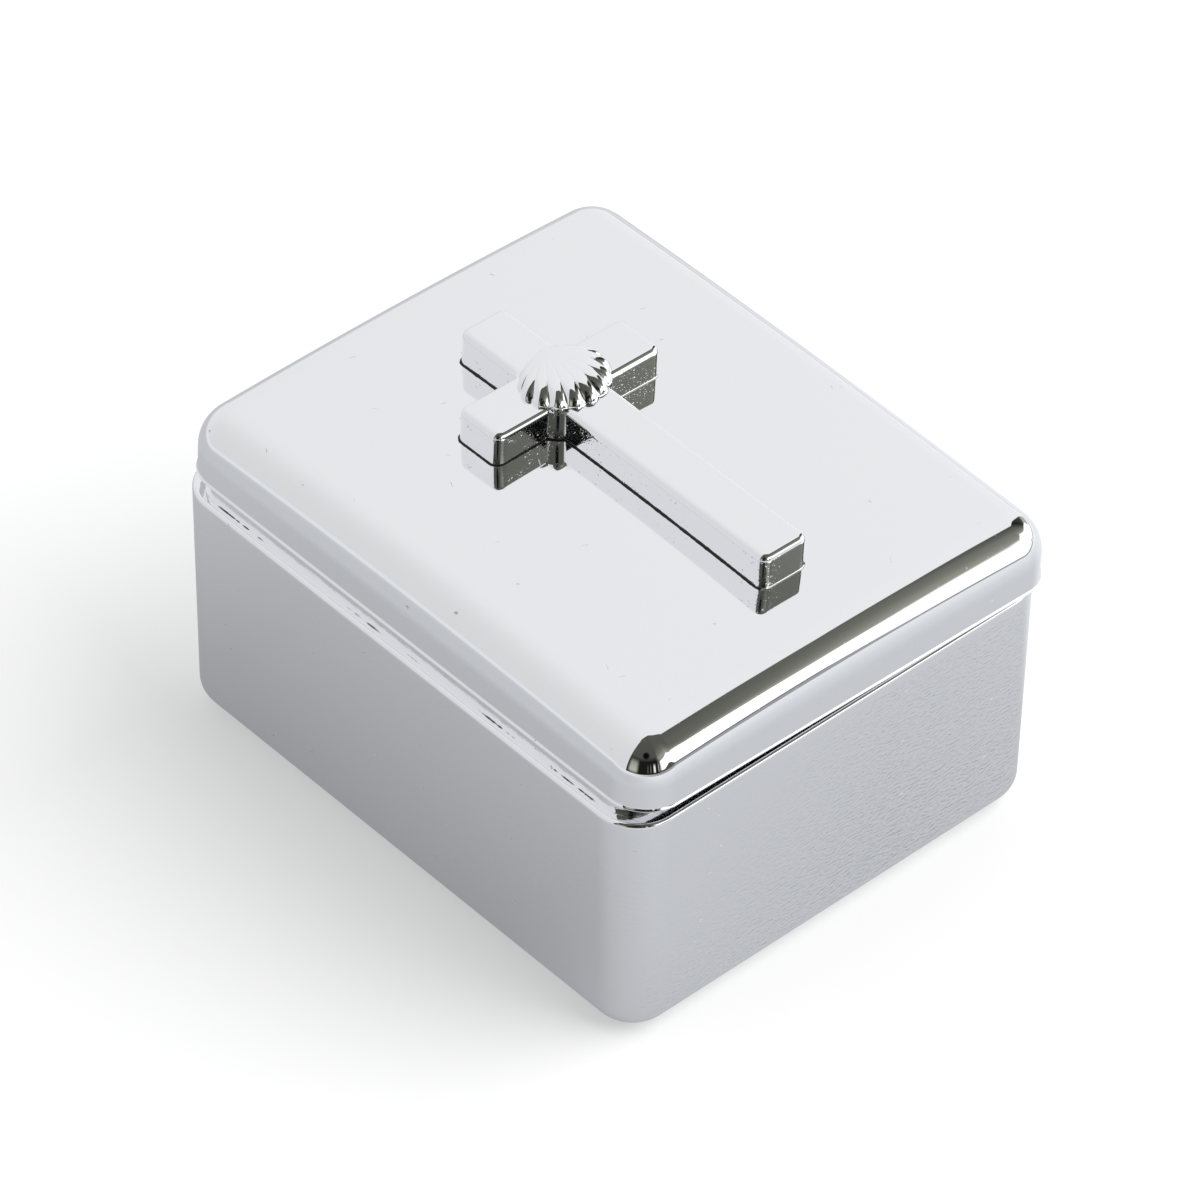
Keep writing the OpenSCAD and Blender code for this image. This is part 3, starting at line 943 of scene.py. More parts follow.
@SharedEffect("cross gap")
def cross_gap(w: Wires, given: Given) -> Results:
    """Writes the way from the foot of the raised cross.

    Args:
        w: Wires of the group.
        given: Values that it is given, by name.

    Returns:
        The Gap to the cross's outline, negative inside it, the way Right and Back from the
        crossing, and the height Over the lid's top beside the cross, all in millimetres.
    """
    sizes, cross = BoxSizes(), CrossSizes()
    skirt, far_off = 5.22, 9.0
    mx, my = sizes.lid.middle
    place = w.group(closed_lid_place(), Place=given["Place"])
    right, along = place.outputs["Right"], place.outputs["Back"]
    back = w.minus(along, cross.crossing)
    half = cross.arm / 2
    length = cross.head + cross.foot
    upright = w.outline_gap(
        right, back, (0.0, (cross.head - cross.foot) / 2), (half, length / 2), cross.outer
    )
    arms = w.outline_gap(right, back, (0.0, 0.0), (cross.side, half), cross.outer)
    gap = w.smaller(upright, arms)
    # The round skirt of the shell stands in the two front corners
    ring_gap = w.minus(w.length(right, back), skirt)
    gap = w.smaller(gap, w.plus(ring_gap, w.times(w.math("GREATER_THAN", back, 0.0), far_off)))
    across, back_share = w.divided(right, sizes.lid.right - mx), w.divided(along, sizes.lid.back - my)
    rounds = w.plus(w.times(across, across), w.times(back_share, back_share))
    crown = w.times(w.minus(2.0, rounds), sizes.lid_crown)
    over = w.minus(place.outputs["Up"], w.plus(crown, sizes.lid_height))
    return {"Gap": gap, "Right": right, "Back": back, "Over": over}


Writer = Callable[[Wires, Socket], Socket]


@dataclass(frozen=True)
class CrossFootShadeAndResidue:
    """Painted shade and dark polish residue in the corner round the foot of the cross.

    Attributes:
        width: How far it reaches from the corner, in millimetres.
        high: How far it climbs, in millimetres.
    """

    width: float
    high: float

    def __call__(self, w: Wires, place: Socket) -> Socket:
        """Writes the mask of the painted shade and residue.

        Args:
            w: Wires of the material.
            place: Place on the surface.

        Returns:
            The mask.
        """
        cross = CrossSizes()
        half = cross.arm / 2
        found = w.group(cross_gap(), Place=place)
        gap, right, back, over = (found.outputs[k] for k in ("Gap", "Right", "Back", "Over"))
        ragged = w.plus(0.55, w.times(w.noise(place, 1600.0, 4.0, 0.65), 0.9))
        near = w.minus(w.times(ragged, self.width), w.absolute(gap))
        low = w.minus(w.times(ragged, self.high), w.absolute(over))
        mask = w.times(w.ramp(near, 0.0, 0.04), w.ramp(low, 0.0, 0.04))
        # No painted shade in front of the right arm and of the foot, where the joint catches light
        beside = w.times(w.ramp(right, half + 1.0, half + 2.2), w.ramp(w.plus(back, half), 0.9, 0.5))
        foot = w.ramp(w.plus(back, cross.foot), 0.35, 0.15)
        return w.times(mask, w.minus(1.0, w.larger(beside, foot)))


def lid_inside(w: Wires, place: Socket) -> Socket:
    """Writes where the lid's inside is, which was never polished.

    Args:
        w: Wires of the material.
        place: Place on the surface.

    Returns:
        The mask.
    """
    lid = BoxSizes().lid
    mx, my = lid.middle
    found = w.group(closed_lid_place(), Place=place)
    gap = w.outline_gap(
        found.outputs["Right"], found.outputs["Back"], (0.0, 0.0), (lid.right - mx, lid.back - my),
        lid.corner
    )
    faces_down = w.ramp(w.normal()[2], 0.2, 0.1)
    return w.times(w.ramp(gap, -1.0, -1.09), faces_down)


def neck_foot_dirt_and_shade(w: Wires, place: Socket) -> Socket:
    """Writes the brown line of dirt and painted shade in the corner between ledge and neck.

    Args:
        w: Wires of the material.
        place: Place on the surface.

    Returns:
        The mask.
    """
    sizes = BoxSizes()
    neck = sizes.neck
    mx, my = neck.middle
    x, y, z = w.millimetres(place)
    gap = w.outline_gap(x, y, (mx, my), (neck.right - mx, neck.back - my), neck.corner)
    ragged = w.times(w.ramp(w.noise(place, 700.0, 3.0, 0.6), 0.38, 0.62), 0.13)
    beside = w.larger(w.absolute(gap), w.absolute(w.minus(z, sizes.rim)))
    patchy = w.ramp(w.noise(place, 130.0, 2.0, 0.5), 0.42, 0.56)
    return w.times(w.ramp(w.minus(ragged, beside), 0.0, 0.04), w.times(patchy, 0.85))


@SharedEffect("pebbled cast", Share=1.0, Depth=0.01)
def pebbled_cast(w: Wires, given: Given) -> Results:
    """Writes the wrinkled skin of a casting under bright plating.

    Args:
        w: Wires of the group.
        given: Values that it is given, by name.

    Returns:
        The Height in millimetres and the Shade in the wrinkles, from 0 to 1.
    """
    place = given["Place"]
    flat = w.vector("MULTIPLY", place, (0.42, 0.42, 1.0))
    bent = w.node("ShaderNodeTexNoise", Vector=place, Scale=600.0, Detail=1.0)
    pushed = w.vector("ADD", flat, w.vector("MULTIPLY", bent.outputs["Color"], (0.0003, 0.0003, 0.0005)))
    fold = w.noise(pushed, 3600.0, 2.0, 0.55)
    # The mirrored floor is even, so the light and dark side of each wrinkle is painted as well
    beside = w.noise(w.vector("ADD", pushed, (0.0, 0.0, 0.00007)), 3600.0, 2.0, 0.55)
    height = w.times(w.times(fold, given["Share"]), given["Depth"])
    shade = w.times(w.ramp(w.minus(fold, beside), 0.0, 0.14), given["Share"])
    return {"Height": height, "Shade": shade}


def body_skin(w: Wires, place: Socket) -> tuple[Socket, Socket]:
    """Writes the unevenness of the box's casting.

    The front wall is pebbled towards its lower right, the other walls less, and the neck is left as cast.

    Args:
        w: Wires of the material.
        place: Place on the surface.

    Returns:
        The height in millimetres and the shade.
    """
    sizes = BoxSizes()
    x, _, z = w.millimetres(place)
    normal = w.normal()
    front = w.ramp(normal[1], -0.75, -0.97)
    lower_right = w.plus(
        w.track(x, (-23.0, 0.0), (-8.0, 0.5), (6.0, 1.0), (24.0, 0.8)),
        w.track(z, (4.0, 0.3), (26.0, -0.35))
    )
    others = w.times(w.ramp(w.noise(place, 40.0, 1.0, 0.4), 0.4, 0.65), 0.12)
    share = w.plus(w.times(front, w.larger(lower_right, 0.0)), others)
    share = w.times(share, w.ramp(z, sizes.rim - 1.0, sizes.rim - 1.6))
    skin = w.group(pebbled_cast(), Place=place, Share=share, Depth=0.012)
    neck = w.times(w.ramp(z, sizes.rim - 0.1, sizes.rim), 0.03)
    as_cast = w.times(w.noise(w.vector("MULTIPLY", place, (0.4, 0.4, 1.0)), 1500.0, 3.0, 0.6), neck)
    return w.plus(skin.outputs["Height"], as_cast), skin.outputs["Shade"]


@SharedEffect("cloth fibres", Scale=1500.0, Depth=0.05)
def cloth_fibres(w: Wires, given: Given) -> Results:
    """Writes matted or standing fibres.

    Args:
        w: Wires of the group.
        given: Values that it is given, by name.

    Returns:
        The Height of the fibres in millimetres and their Shade from 0 to 1.
    """
    place, scale = given["Place"], given["Scale"]
    bend = w.node("ShaderNodeTexNoise", Vector=place, Scale=w.times(scale, 0.12), Detail=3.0)
    pushed = w.vector("ADD", place, w.vector("MULTIPLY", bend.outputs["Color"], (0.004, 0.004, 0.004)))
    found: list[Socket] = []
    for turn, stretch in ((0.3, 5.0), (1.4, 6.0), (2.5, 5.0)):
        turned = w.node("ShaderNodeVectorRotate", Vector=pushed, Angle=turn)
        turned.rotation_type = "Z_AXIS"
        thin = w.vector("MULTIPLY", turned.outputs[0], (1.0, stretch, 1.0))
        found.append(w.noise(thin, scale, 2.0, 0.6))
    mat = w.larger(w.larger(found[0], found[1]), found[2])
    tuft = w.noise(place, w.times(scale, 2.2))
    whole = w.plus(w.times(mat, 0.65), w.times(tuft, 0.35))
    return {"Height": w.times(whole, given["Depth"]), "Shade": w.ramp(whole, 0.42, 0.68)}


# Finishes


GREY_LINT = (0.33, 0.33, 0.34, 1.0)
PAINTED_WRINKLE_SHADE = (0.1, 0.1, 0.12, 1.0)
PAINTED_GLINT = (0.93, 0.93, 0.9, 1.0)
SATIN = (0.86, 0.86, 0.86, 1.0)
STAIN = (0.36, 0.33, 0.29, 1.0)


@dataclass(frozen=True)
class Finish:
    """A material made of one surface shader.

    Attributes:
        name: Name of the material.
    """

    name: str

    def shader(self, w: Wires, place: Socket) -> Node:
        """Writes the surface shader.

        Args:
            w: Wires of the material.
            place: Place on the surface.

        Returns:
            The shader.
        """
        raise NotImplementedError

    def make(self) -> Material:
        """Builds the material.

        Returns:
            The material.
        """
        material = bpy.data.materials.new(self.name)
        material.use_nodes = True
        material.node_tree.nodes.clear()
        w = Wires(material.node_tree)
        shader = self.shader(w, w.node("ShaderNodeTexCoord").outputs["Object"])
        w.node("ShaderNodeOutputMaterial", Surface=shader.outputs[0])
        return material


@dataclass(frozen=True)
class Plating(Finish):
    """Bright silver plating over a casting.

    Attributes:
        name: Name of the material.
        tint: Colour of the metal.
        roughness: Roughness of the clean plating.
        swell: Height of the broad unevenness, in millimetres.
        grain: Height of the fine unevenness, in millimetres.
        pits: Depth of the casting's pits on upright faces, in millimetres.
        lint: How much stray lint shows.
        dirt_and_shade: Colour of the dark line at a joint, dirt and painted shade.
        dirt_and_shade_mask: Writes the mask of that dark line.
        satin: Writes the mask of what was left unpolished.
        uneven: Writes more unevenness, in millimetres, and its painted shade.
    """

    tint: Colour = (0.947, 0.955, 0.972)
    roughness: float = 0.035
    swell: float = 0.0015
    grain: float = 0.0004
    pits: float = 0.0
    lint: float = 1.0
    dirt_and_shade: Colour = (0.006, 0.006, 0.005)
    dirt_and_shade_mask: Writer | None = None
    satin: Writer | None = None
    uneven: Callable[[Wires, Socket], tuple[Socket, Socket]] | None = None

    def shader(self, w: Wires, place: Socket) -> Node:
        """Writes the surface shader.

        Args:
            w: Wires of the material.
            place: Place on the surface.

        Returns:
            The shader.
        """
        ripple = w.group(cast_ripple(), Place=place, Swell=self.swell, Grain=self.grain)
        marks = w.group(lint_and_marks(), Place=place, Amount=self.lint)
        height = ripple.outputs["Height"]
        lint = marks.outputs["Lint"]
        colour = w.blend(w.times(lint, 0.75), (*self.tint, 1.0), GREY_LINT)
        metal = w.minus(1.0, lint)
        rough = w.plus(self.roughness, w.times(marks.outputs["Scuffs"], 0.05))
        if self.uneven:
            more, shade = self.uneven(w, place)
            height = w.plus(height, more)
            # Painted shade on the dark side of each wrinkle
            colour = w.blend(w.times(shade, 0.34), colour, PAINTED_WRINKLE_SHADE)
        if self.pits:
            # The polishing wheel doesn't reach the upright faces
            upright = w.absolute(w.normal()[2])
            left_rough = w.times(
                w.ramp(upright, 0.35, 0.15), w.ramp(w.noise(place, 260.0, 1.0, 0.5), 0.35, 0.6)
            )
            holes = w.group(cast_pits(), Place=place, Depth=self.pits)
            height = w.plus(height, w.times(holes.outputs["Height"], left_rough))
            # Painted highlights: pale, less metallic dots where the pits would glint
            glints = w.times(holes.outputs["Specks"], left_rough)
            colour = w.blend(glints, colour, PAINTED_GLINT)
            metal = w.times(metal, w.minus(1.0, w.times(glints, 0.85)))
            rough = w.plus(rough, w.times(glints, 0.4))
        if self.satin:
            dull = self.satin(w, place)
            colour = w.blend(dull, colour, SATIN)
            rough = w.plus(rough, w.times(dull, 0.27))
            metal = w.times(metal, w.minus(1.0, w.times(dull, 0.45)))
            height = w.plus(height, w.times(w.times(w.noise(place, 2600.0, 3.0, 0.6), dull), 0.008))
        # Dark line at a joint: painted shade round the cross's foot, dirt and painted shade along the neck's
        # foot
        if self.dirt_and_shade_mask:
            dirt_and_shade = self.dirt_and_shade_mask(w, place)
            colour = w.blend(dirt_and_shade, colour, (*self.dirt_and_shade, 1.0))
            metal = w.times(metal, w.minus(1.0, dirt_and_shade))
            rough = w.plus(rough, w.times(dirt_and_shade, 0.5))
        return w.node(
            "ShaderNodeBsdfPrincipled", Base_Color=colour, Metallic=metal, Roughness=rough,
            Normal=w.bump(height)
        )


@dataclass(frozen=True)
class PinSteel(Finish):
    """Drawn steel of the hinge pin, with fine rings round it."""

    name: str = "pin_steel"
    tint: Colour = (0.56, 0.55, 0.53)
    roughness: float = 0.28

    def shader(self, w: Wires, place: Socket) -> Node:
        """Writes the surface shader.

        Args:
            w: Wires of the material.
            place: Place on the surface.

        Returns:
            The shader.
        """
        rings = w.noise(w.vector("MULTIPLY", place, (0.15, 6.0, 0.15)), 1800.0, 3.0, 0.6)
        stain = w.noise(place, 350.0, 3.0, 0.6)
        colour = w.blend(w.ramp(stain, 0.5, 0.75), (*self.tint, 1.0), STAIN)
        rough = w.plus(self.roughness - 0.08, w.times(rings, 0.2))
        bump = w.bump(w.times(rings, 0.004))
        return w.node(
            "ShaderNodeBsdfPrincipled", Base_Color=colour, Metallic=1.0, Roughness=rough, Normal=bump
        )


@dataclass(frozen=True)
class Pile(Finish):
    """Velvet, flock or felt.

    Attributes:
        name: Name of the material.
        deep: Colour between the fibres.
        light: Colour of the fibres' tips.
        fibre: How fine the fibres are, as the scale of their pattern.
        depth: Height of the fibres, in millimetres.
        nap: How strongly brushed patches show, from 0 to 1.
        sheen: Weight of the soft gloss at grazing angles.
    """

    name: str
    deep: Colour
    light: Colour
    fibre: float
    depth: float
    nap: float
    sheen: float

    def shader(self, w: Wires, place: Socket) -> Node:
        """Writes the surface shader.

        Args:
            w: Wires of the material.
            place: Place on the surface.

        Returns:
            The shader.
        """
        fibres = w.group(cloth_fibres(), Place=place, Scale=self.fibre, Depth=self.depth)
        brushed = w.ramp(w.noise(w.vector("MULTIPLY", place, (1.0, 0.55, 1.0)), 70.0, 3.0, 0.55), 0.4, 0.62)
        share = w.plus(w.times(fibres.outputs["Shade"], 1.0 - self.nap), w.times(brushed, self.nap))
        colour = w.blend(share, (*self.deep, 1.0), (*self.light, 1.0))
        rough = w.plus(0.78, w.times(fibres.outputs["Shade"], 0.15))
        bump = w.bump(fibres.outputs["Height"], 0.8)
        return w.node(
            "ShaderNodeBsdfPrincipled", Base_Color=colour, Roughness=rough, Normal=bump,
            Sheen_Weight=self.sheen, Sheen_Roughness=0.45, Sheen_Tint=(*self.light, 1.0),
            Specular_IOR_Level=0.2
        )


@dataclass(frozen=True)
class SilkThread(Finish):
    """Twisted thread of the stitches."""

    name: str = "silk_thread"
    tint: Colour = (0.11, 0.15, 0.34)

    def shader(self, w: Wires, place: Socket) -> Node:
        """Writes the surface shader.

        Args:
            w: Wires of the material.
            place: Place on the surface.

        Returns:
            The shader.
        """
        twist = w.noise(w.vector("MULTIPLY", place, (1.0, 1.0, 2.5)), 5200.0, 2.0, 0.5)
        dark = tuple(c * 0.45 for c in self.tint)
        colour = w.blend(w.ramp(twist, 0.35, 0.65), (*dark, 1.0), (*self.tint, 1.0))
        bump = w.bump(w.times(twist, 0.04), 0.7)
        return w.node("ShaderNodeBsdfPrincipled", Base_Color=colour, Roughness=0.42, Normal=bump)


# Box


@dataclass
class OpenBox:
    """The cast box with its rim ledge and neck."""

    sizes: BoxSizes
    draft: float = 0.8
    foot: float = 3.0
    rim_edge: float = 0.45
    neck_edge: float = 0.2

    def build(self) -> Piece:
        """Builds the box.

        Returns:
            The piece that stands for box_body.
        """
        s = self.sizes
        body, cavity, neck = s.body, s.cavity, s.neck
        low = s.felt_proud
        felt = body.inset(s.felt_border).with_corner(s.corner)
        slope = math.tan(math.radians(self.draft))
        foot_in = (s.height - self.foot) * slope
        floor = low + s.floor
        rings = [
            ring(felt.inset(8.0).with_corner(s.corner), s.felt_depth), ring(felt, s.felt_depth),
            ring(felt, low),
            ring(body.inset((s.felt_border + foot_in + self.foot) / 2), low)
        ]
        rings += eased(body, self.foot, low, 14, 1, rising=False, start=foot_in)
        wall = s.height - self.foot - self.rim_edge
        for share in (0.02, 0.34, 0.67, 0.99):
            rings.append(ring(body.inset(foot_in * (1 - share)), low + self.foot + wall * share))
        rings += eased(body, self.rim_edge, s.rim, 6, -1)
        rings += [ring(neck.inset(-0.02), s.rim), ring(neck, s.rim + 0.03)]
        rings += eased(neck, self.neck_edge, s.neck_top, 5, -1)
        rings += [ring(cavity.inset(-0.1), s.neck_top), ring(cavity, s.neck_top - 0.1)]
        rings += eased(cavity, s.inner_foot, floor, 6, 1)
        return Solid.loft("box_shell", rings, (0, 0, s.felt_depth), (0, 0, floor))


@dataclass
class CrownedLid:
    """The cast lid with its round shoulder and crowned top."""

    sizes: BoxSizes
    edge: float = 0.12
    lip: float = 0.15
    lip_turn: float = 40.0

    def _cover(self, outline: Outline, radius: float, z: float, steps: int, inner: int) -> list[np.ndarray]:
        """Rings over a shoulder and the crown, from the wall to near the middle."""
        s = self.sizes
        rings = []
        for a in quarter(steps):
            flat = outline.inset(radius * (1 - math.cos(a))).points()
            lift = s.crown(flat[:, 0], flat[:, 1]) * math.sin(a)
            rings.append(np.column_stack((flat, z - radius + radius * math.sin(a) + lift)))
        last = outline.inset(radius).points()
        middle = np.array(outline.middle)
        for share in np.linspace(1, 0, inner + 1)[1:-1]:
            flat = middle + (last - middle) * share
            rings.append(np.column_stack((flat, z + s.crown(flat[:, 0], flat[:, 1]))))
        return rings

    def build(self) -> Piece:
        """Builds the lid where it rests.

        Returns:
            The piece that stands for lid.
        """
        s = self.sizes
        outer = s.lid
        inner = outer.inset(s.lid_wall)
        ceiling = s.shoulder - s.lid_top
        inside = self._cover(inner, s.lid_shoulder - s.lid_wall, ceiling, 8, 12)
        rings = [*inside[::-1], ring(inner, s.lid_base + 0.05), ring(inner.inset(-0.05), s.lid_base)]
        proud = outer.inset(-self.lip)
        rings += eased(proud, self.edge, s.lid_base, 5, 1, rising=False)
        start = s.lid_base + self.edge + 0.03
        rise = self.lip / math.tan(math.radians(self.lip_turn))
        rings.append(ring(proud, start))
        for share in (0.06, 0.94):
            rings.append(ring(proud.inset(self.lip * share), start + rise * share))
        top = start + rise
        rings += [ring(outer, z) for z in (top + 0.03, top + 0.2, s.shoulder - s.lid_shoulder - 0.05)]
        rings += self._cover(outer, s.lid_shoulder, s.shoulder, 22, 30)
        x, y = outer.middle
        rings = [s.open_lid(r) for r in rings]
        ends = s.open_lid(np.array([[x, y, s.lid_ceiling(x, y)], [x, y, s.lid_surface(x, y)]]))
        return Solid.loft("lid_shell", rings, ends[0], ends[1])


@dataclass
class RaisedCross:
    """The cross on the lid."""

    sizes: BoxSizes
    cross: CrossSizes
    foot_stud: float = 21.0
    stud_head: float = 1.7
    stud_shank: float = 1.0
    stud_drop: float = 0.55
    stud_dome: float = 0.25

    @property
    def crossing(self) -> tuple[float, float]:
        """Place of the crossing on the closed lid."""
        x, y = self.sizes.lid.middle
        return x, y + self.cross.crossing

    @property
    def top(self) -> float:
        """Height of the cross's top on the closed lid."""
        return float(self.sizes.lid_surface(*self.sizes.lid.middle)) + self.cross.relief

    def build(self) -> Piece:
        """Builds the cross where it rests.

        Returns:
            The piece that stands for cross.
        """
        s, c = self.sizes, self.cross
        cx, cy = self.crossing
        base = c.outline(0.0)
        rings = []

        def at(out: float, height: float | None, above: float = 0.0) -> None:
            flat = base[:, :2] + base[:, 2:] * out + (cx, cy)
            z = s.lid_surface(flat[:, 0], flat[:, 1]) + above if height is None else height
            rings.append(np.column_stack((flat, np.broadcast_to(z, len(flat)))))

        at(c.flare, None, -0.12)
        for a in quarter(5):
            at(c.flare * (1 - math.sin(a)), None, c.flare * (1 - math.cos(a)) - 0.01)
        for share in (0.5, 0.98):
            flat = base[:, :2] + (cx, cy)
            low = s.lid_surface(flat[:, 0], flat[:, 1]) + c.flare
            rings.append(np.column_stack((flat, low + (self.top - c.edge - low) * share)))
        for a in quarter(10):
            inset = c.outline(c.edge * (1 - math.cos(a)))
            rings.append(
                np.column_stack(
                    (inset[:, :2] + (cx, cy), np.full(len(inset), self.top - c.edge * (1 - math.sin(a))))
                )
            )
        casting = Solid.finish("cross_plate", self._skin(rings))
        stud = self.stud("cross_stud", cy - self.foot_stud, self.top - self.cross.relief / 2)
        return Solid.join("cross_casting", [casting, Solid.shift(stud, s.open_lid)])

    def stud(self, name: str, y: float, top: float) -> Piece:
        """Makes a stud through the closed lid with its peened head.

        Args:
            name: Name of the object.
            y: Place of the stud along the lid.
            top: Height at which the stud ends inside its casting.

        Returns:
            The stud.
        """
        cx, _ = self.crossing
        wide, shank = self.stud_head, self.stud_shank
        low = float(self.sizes.lid_ceiling(cx + wide, y - wide)) - self.stud_drop
        high = low + 0.5
        profile = [(wide * math.sin(a), low + self.stud_dome * (1 - math.cos(a))) for a in quarter(5)]
        profile += [(wide, low + 0.42), (1.62, high), (shank, high), (shank, top), (0.0, top)]
        return Solid.turned(name, profile, lambda rows: rows + (cx, y, 0.0), 40)

    def _skin(self, rings: list[np.ndarray]) -> Mesh:
        """Joins the rings and closes both ends with flat faces."""
        n = len(rings[0])
        faces: list[tuple[int, ...]] = [tuple(range(n - 1, -1, -1))]
        for i in range(len(rings) - 1):
            faces += band(i * n, (i + 1) * n, n)
        faces.append(tuple((len(rings) - 1) * n + k for k in range(n)))
        mesh = new_mesh("cross_skin", self.sizes.open_lid(np.concatenate(rings)), faces)
        bm = bmesh.new()
        bm.from_mesh(mesh)
        bmesh.ops.triangulate(bm, faces=[f for f in bm.faces if len(f.verts) > 4])
        bm.to_mesh(mesh)
        bm.free()
        return mesh


@dataclass
class FlutedShell:
    """The scallop shell over the crossing, with its round skirt beside the foot of the cross."""

    raised: RaisedCross
    radius: float = 5.25
    height: float = 1.9
    ribs: float = 13.0
    fan: float = 139.0
    shift: float = 0.1
    hinge: float = 4.4
    side: float = 3.9
    side_turn: float = 32.0
    umbo: float = 2.5
    scallop: float = 0.34
    groove: float = 0.5
    smooth: float = 0.62
    crest: float = 1.7
    line: float = 0.05
    line_width: float = 5.0
    lip: float = 0.7
    skirt_scallop: float = 0.13
    steps_per_rib: int = 24
    back_steps: int = 40
    rows: int = 64

    def _tree(self, values: dict[str, object]) -> ShapeTree:
        """Writes the tree that spreads the ribs from the umbo to the scalloped edge.

        Args:
            values: Value of each input by its name.

        Returns:
            The tree, whose inputs are in millimetres and degrees.
        """
        made = ShapeTree("fluted shell", values)
        w, get = made.wires, made.given
        fanned = w.times(get("Ribs"), get("Steps Per Rib"))
        around = w.plus(fanned, get("Back Steps"))
        grid = w.node(
            "GeometryNodeMeshGrid", Size_X=1.0, Size_Y=1.0, Vertices_X=w.plus(around, 1.0),
            Vertices_Y=get("Rows")
        )
        x, y, _ = w.split(w.node("GeometryNodeInputPosition").outputs[0])
        step = w.times(w.plus(x, 0.5), around)
        down = w.plus(y, 0.5)

        # Angle from the front, with a point on every crest and groove
        in_fan = w.smaller(w.divided(step, fanned), 1.0)
        in_back = w.larger(w.divided(w.minus(step, fanned), get("Back Steps")), 0.0)
        spread = w.times(get("Fan"), 2.0)
        turn = w.plus(w.minus(w.times(spread, in_fan), get("Fan")),
                      w.times(w.minus(360.0, spread), in_back))
        rib = w.math("FRACT", w.times(in_fan, get("Ribs")))
        relief = w.power(w.absolute(w.minus(w.times(rib, 2.0), 1.0)), get("Crest"))
        angle = w.math("RADIANS", turn)
        way_x, way_y = w.math("SINE", angle), w.times(w.math("COSINE", angle), -1.0)
        plain = w.divided(1.0, self._share(made, way_x, way_y))
        edge = w.minus(plain, w.times(get("Scallop"), relief))

        # Rows from the umbo to the edge, closer towards the edge, then down the lip and in under it
        out = w.math("SINE", w.times(w.smaller(w.divided(down, 0.84), 1.0), math.pi / 2))
        under = w.divided(w.larger(w.minus(down, 0.84), 0.0), 0.16)

        def from_umbo(length: Socket, share: Socket) -> tuple[Socket, Socket]:
            px = w.times(w.times(way_x, length), share)
            reach = w.minus(w.times(way_y, length), get("Umbo"))
            return px, w.plus(get("Umbo"), w.times(reach, share))

        px, py = from_umbo(edge, out)
        share = w.smaller(self._share(made, *from_umbo(plain, out)), 1.0)
        dome = w.power(w.minus(1.0, w.power(share, 4.0)), 0.6)
        deepen = w.divided(w.larger(w.minus(out, get("Smooth")), 0.0),
                        w.minus(1.0, get("Smooth")))
        fade = w.root(w.minus(1.0, w.power(share, 6.0)))
        fall = w.times(w.times(get("Groove"), relief),
                      w.times(w.times(deepen, deepen), fade))
        line = w.times(w.power(relief, get("Line Width")), w.track(out, (0.12, 0.0), (0.5, 1.0)))
        fall = w.plus(fall, w.times(w.times(line, fade), get("Line")))
        pz = w.larger(w.minus(w.times(dome, get("Height")), fall), 0.0)
        pz = w.minus(pz, w.times(w.smaller(w.times(under, 1.8), 1.0), get("Lip")))
        close = w.track(under, (0.5, 1.0), (0.75, 0.92), (1.0, 0.0))
        spot = w.node("ShaderNodeCombineXYZ", X=w.times(px, close), Y=w.times(py, close), Z=pz)
        small = w.vector("MULTIPLY", spot.outputs[0], (MM, MM, MM))
        placed = w.node("GeometryNodeSetPosition", Geometry=grid.outputs[0], Position=small)
        merged = w.node("GeometryNodeMergeByDistance", Geometry=placed.outputs[0], Distance=1e-6)
        made.close(merged.outputs[0], get("Metal"))
        return made

    @staticmethod
    def _share(made: ShapeTree, px: Socket, py: Socket) -> Socket:
        """Share of the way to the plain outline: a circle, two slanting sides and the hinge line."""
        w, get = made.wires, made.given
        circle = w.divided(w.length(px, py), get("Radius"))
        lean = w.math("RADIANS", get("Side Turn"))
        aside = w.plus(w.times(w.absolute(px), w.math("SINE", lean)),
                       w.times(py, w.math("COSINE", lean)))
        aside = w.divided(w.larger(aside, 0.0), get("Side"))
        back = w.divided(w.larger(py, 0.0), get("Hinge"))
        total = w.plus(w.plus(w.power(circle, 5.0), w.power(aside, 5.0)), w.power(back, 5.0))
        return w.power(total, 0.2)

    def _pillar(self, way: int) -> Piece:
        """Makes one round corner of the skirt.

        Args:
            way: -1 for the left inner corner, 1 for the right.

        Returns:
            The pillar on the closed lid.
        """
        cx, cy = self.raised.crossing
        cy += self.shift
        sunk = self.raised.cross.arm / 2 - 0.35
        low = float(self.raised.sizes.lid_surface(cx + way * 4, cy - 4)) - 0.12
        high = self.raised.top - self.lip * 0.5
        start = math.asin(sunk / self.radius)
        t = np.linspace(start, math.pi / 2 - start, 61)
        rib = (np.degrees(t) + self.fan) * self.ribs / (2 * self.fan)
        relief = np.abs(2 * (rib - np.floor(rib)) - 1) ** self.crest
        edge = self.radius - 0.012 - self.skirt_scallop * relief
        arc = np.column_stack((np.sin(t) * edge * way, -np.cos(t) * edge))
        corner = np.array([[way * sunk, -sunk]])
        rings = []
        for grow, z in (
            (0.10, low), (0.06, low + 0.14), (0.02, low + 0.2), (0.0, low + 0.28), (0.0, (low + high) / 2),
            (0.0, high)
        ):
            out = arc * (1 + grow / edge[:, None])
            flat = np.concatenate(
                (out, out[-1] + (corner - out[-1]) * 0.5, corner, corner + (out[0] - corner) * 0.5)
            )
            rings.append(np.column_stack((flat + (cx, cy), np.full(len(flat), z))))
        middle = np.mean(rings[0][:, :2], axis=0)
        return Solid.loft("skirt_corner", rings, (*middle, low), (*middle, high))

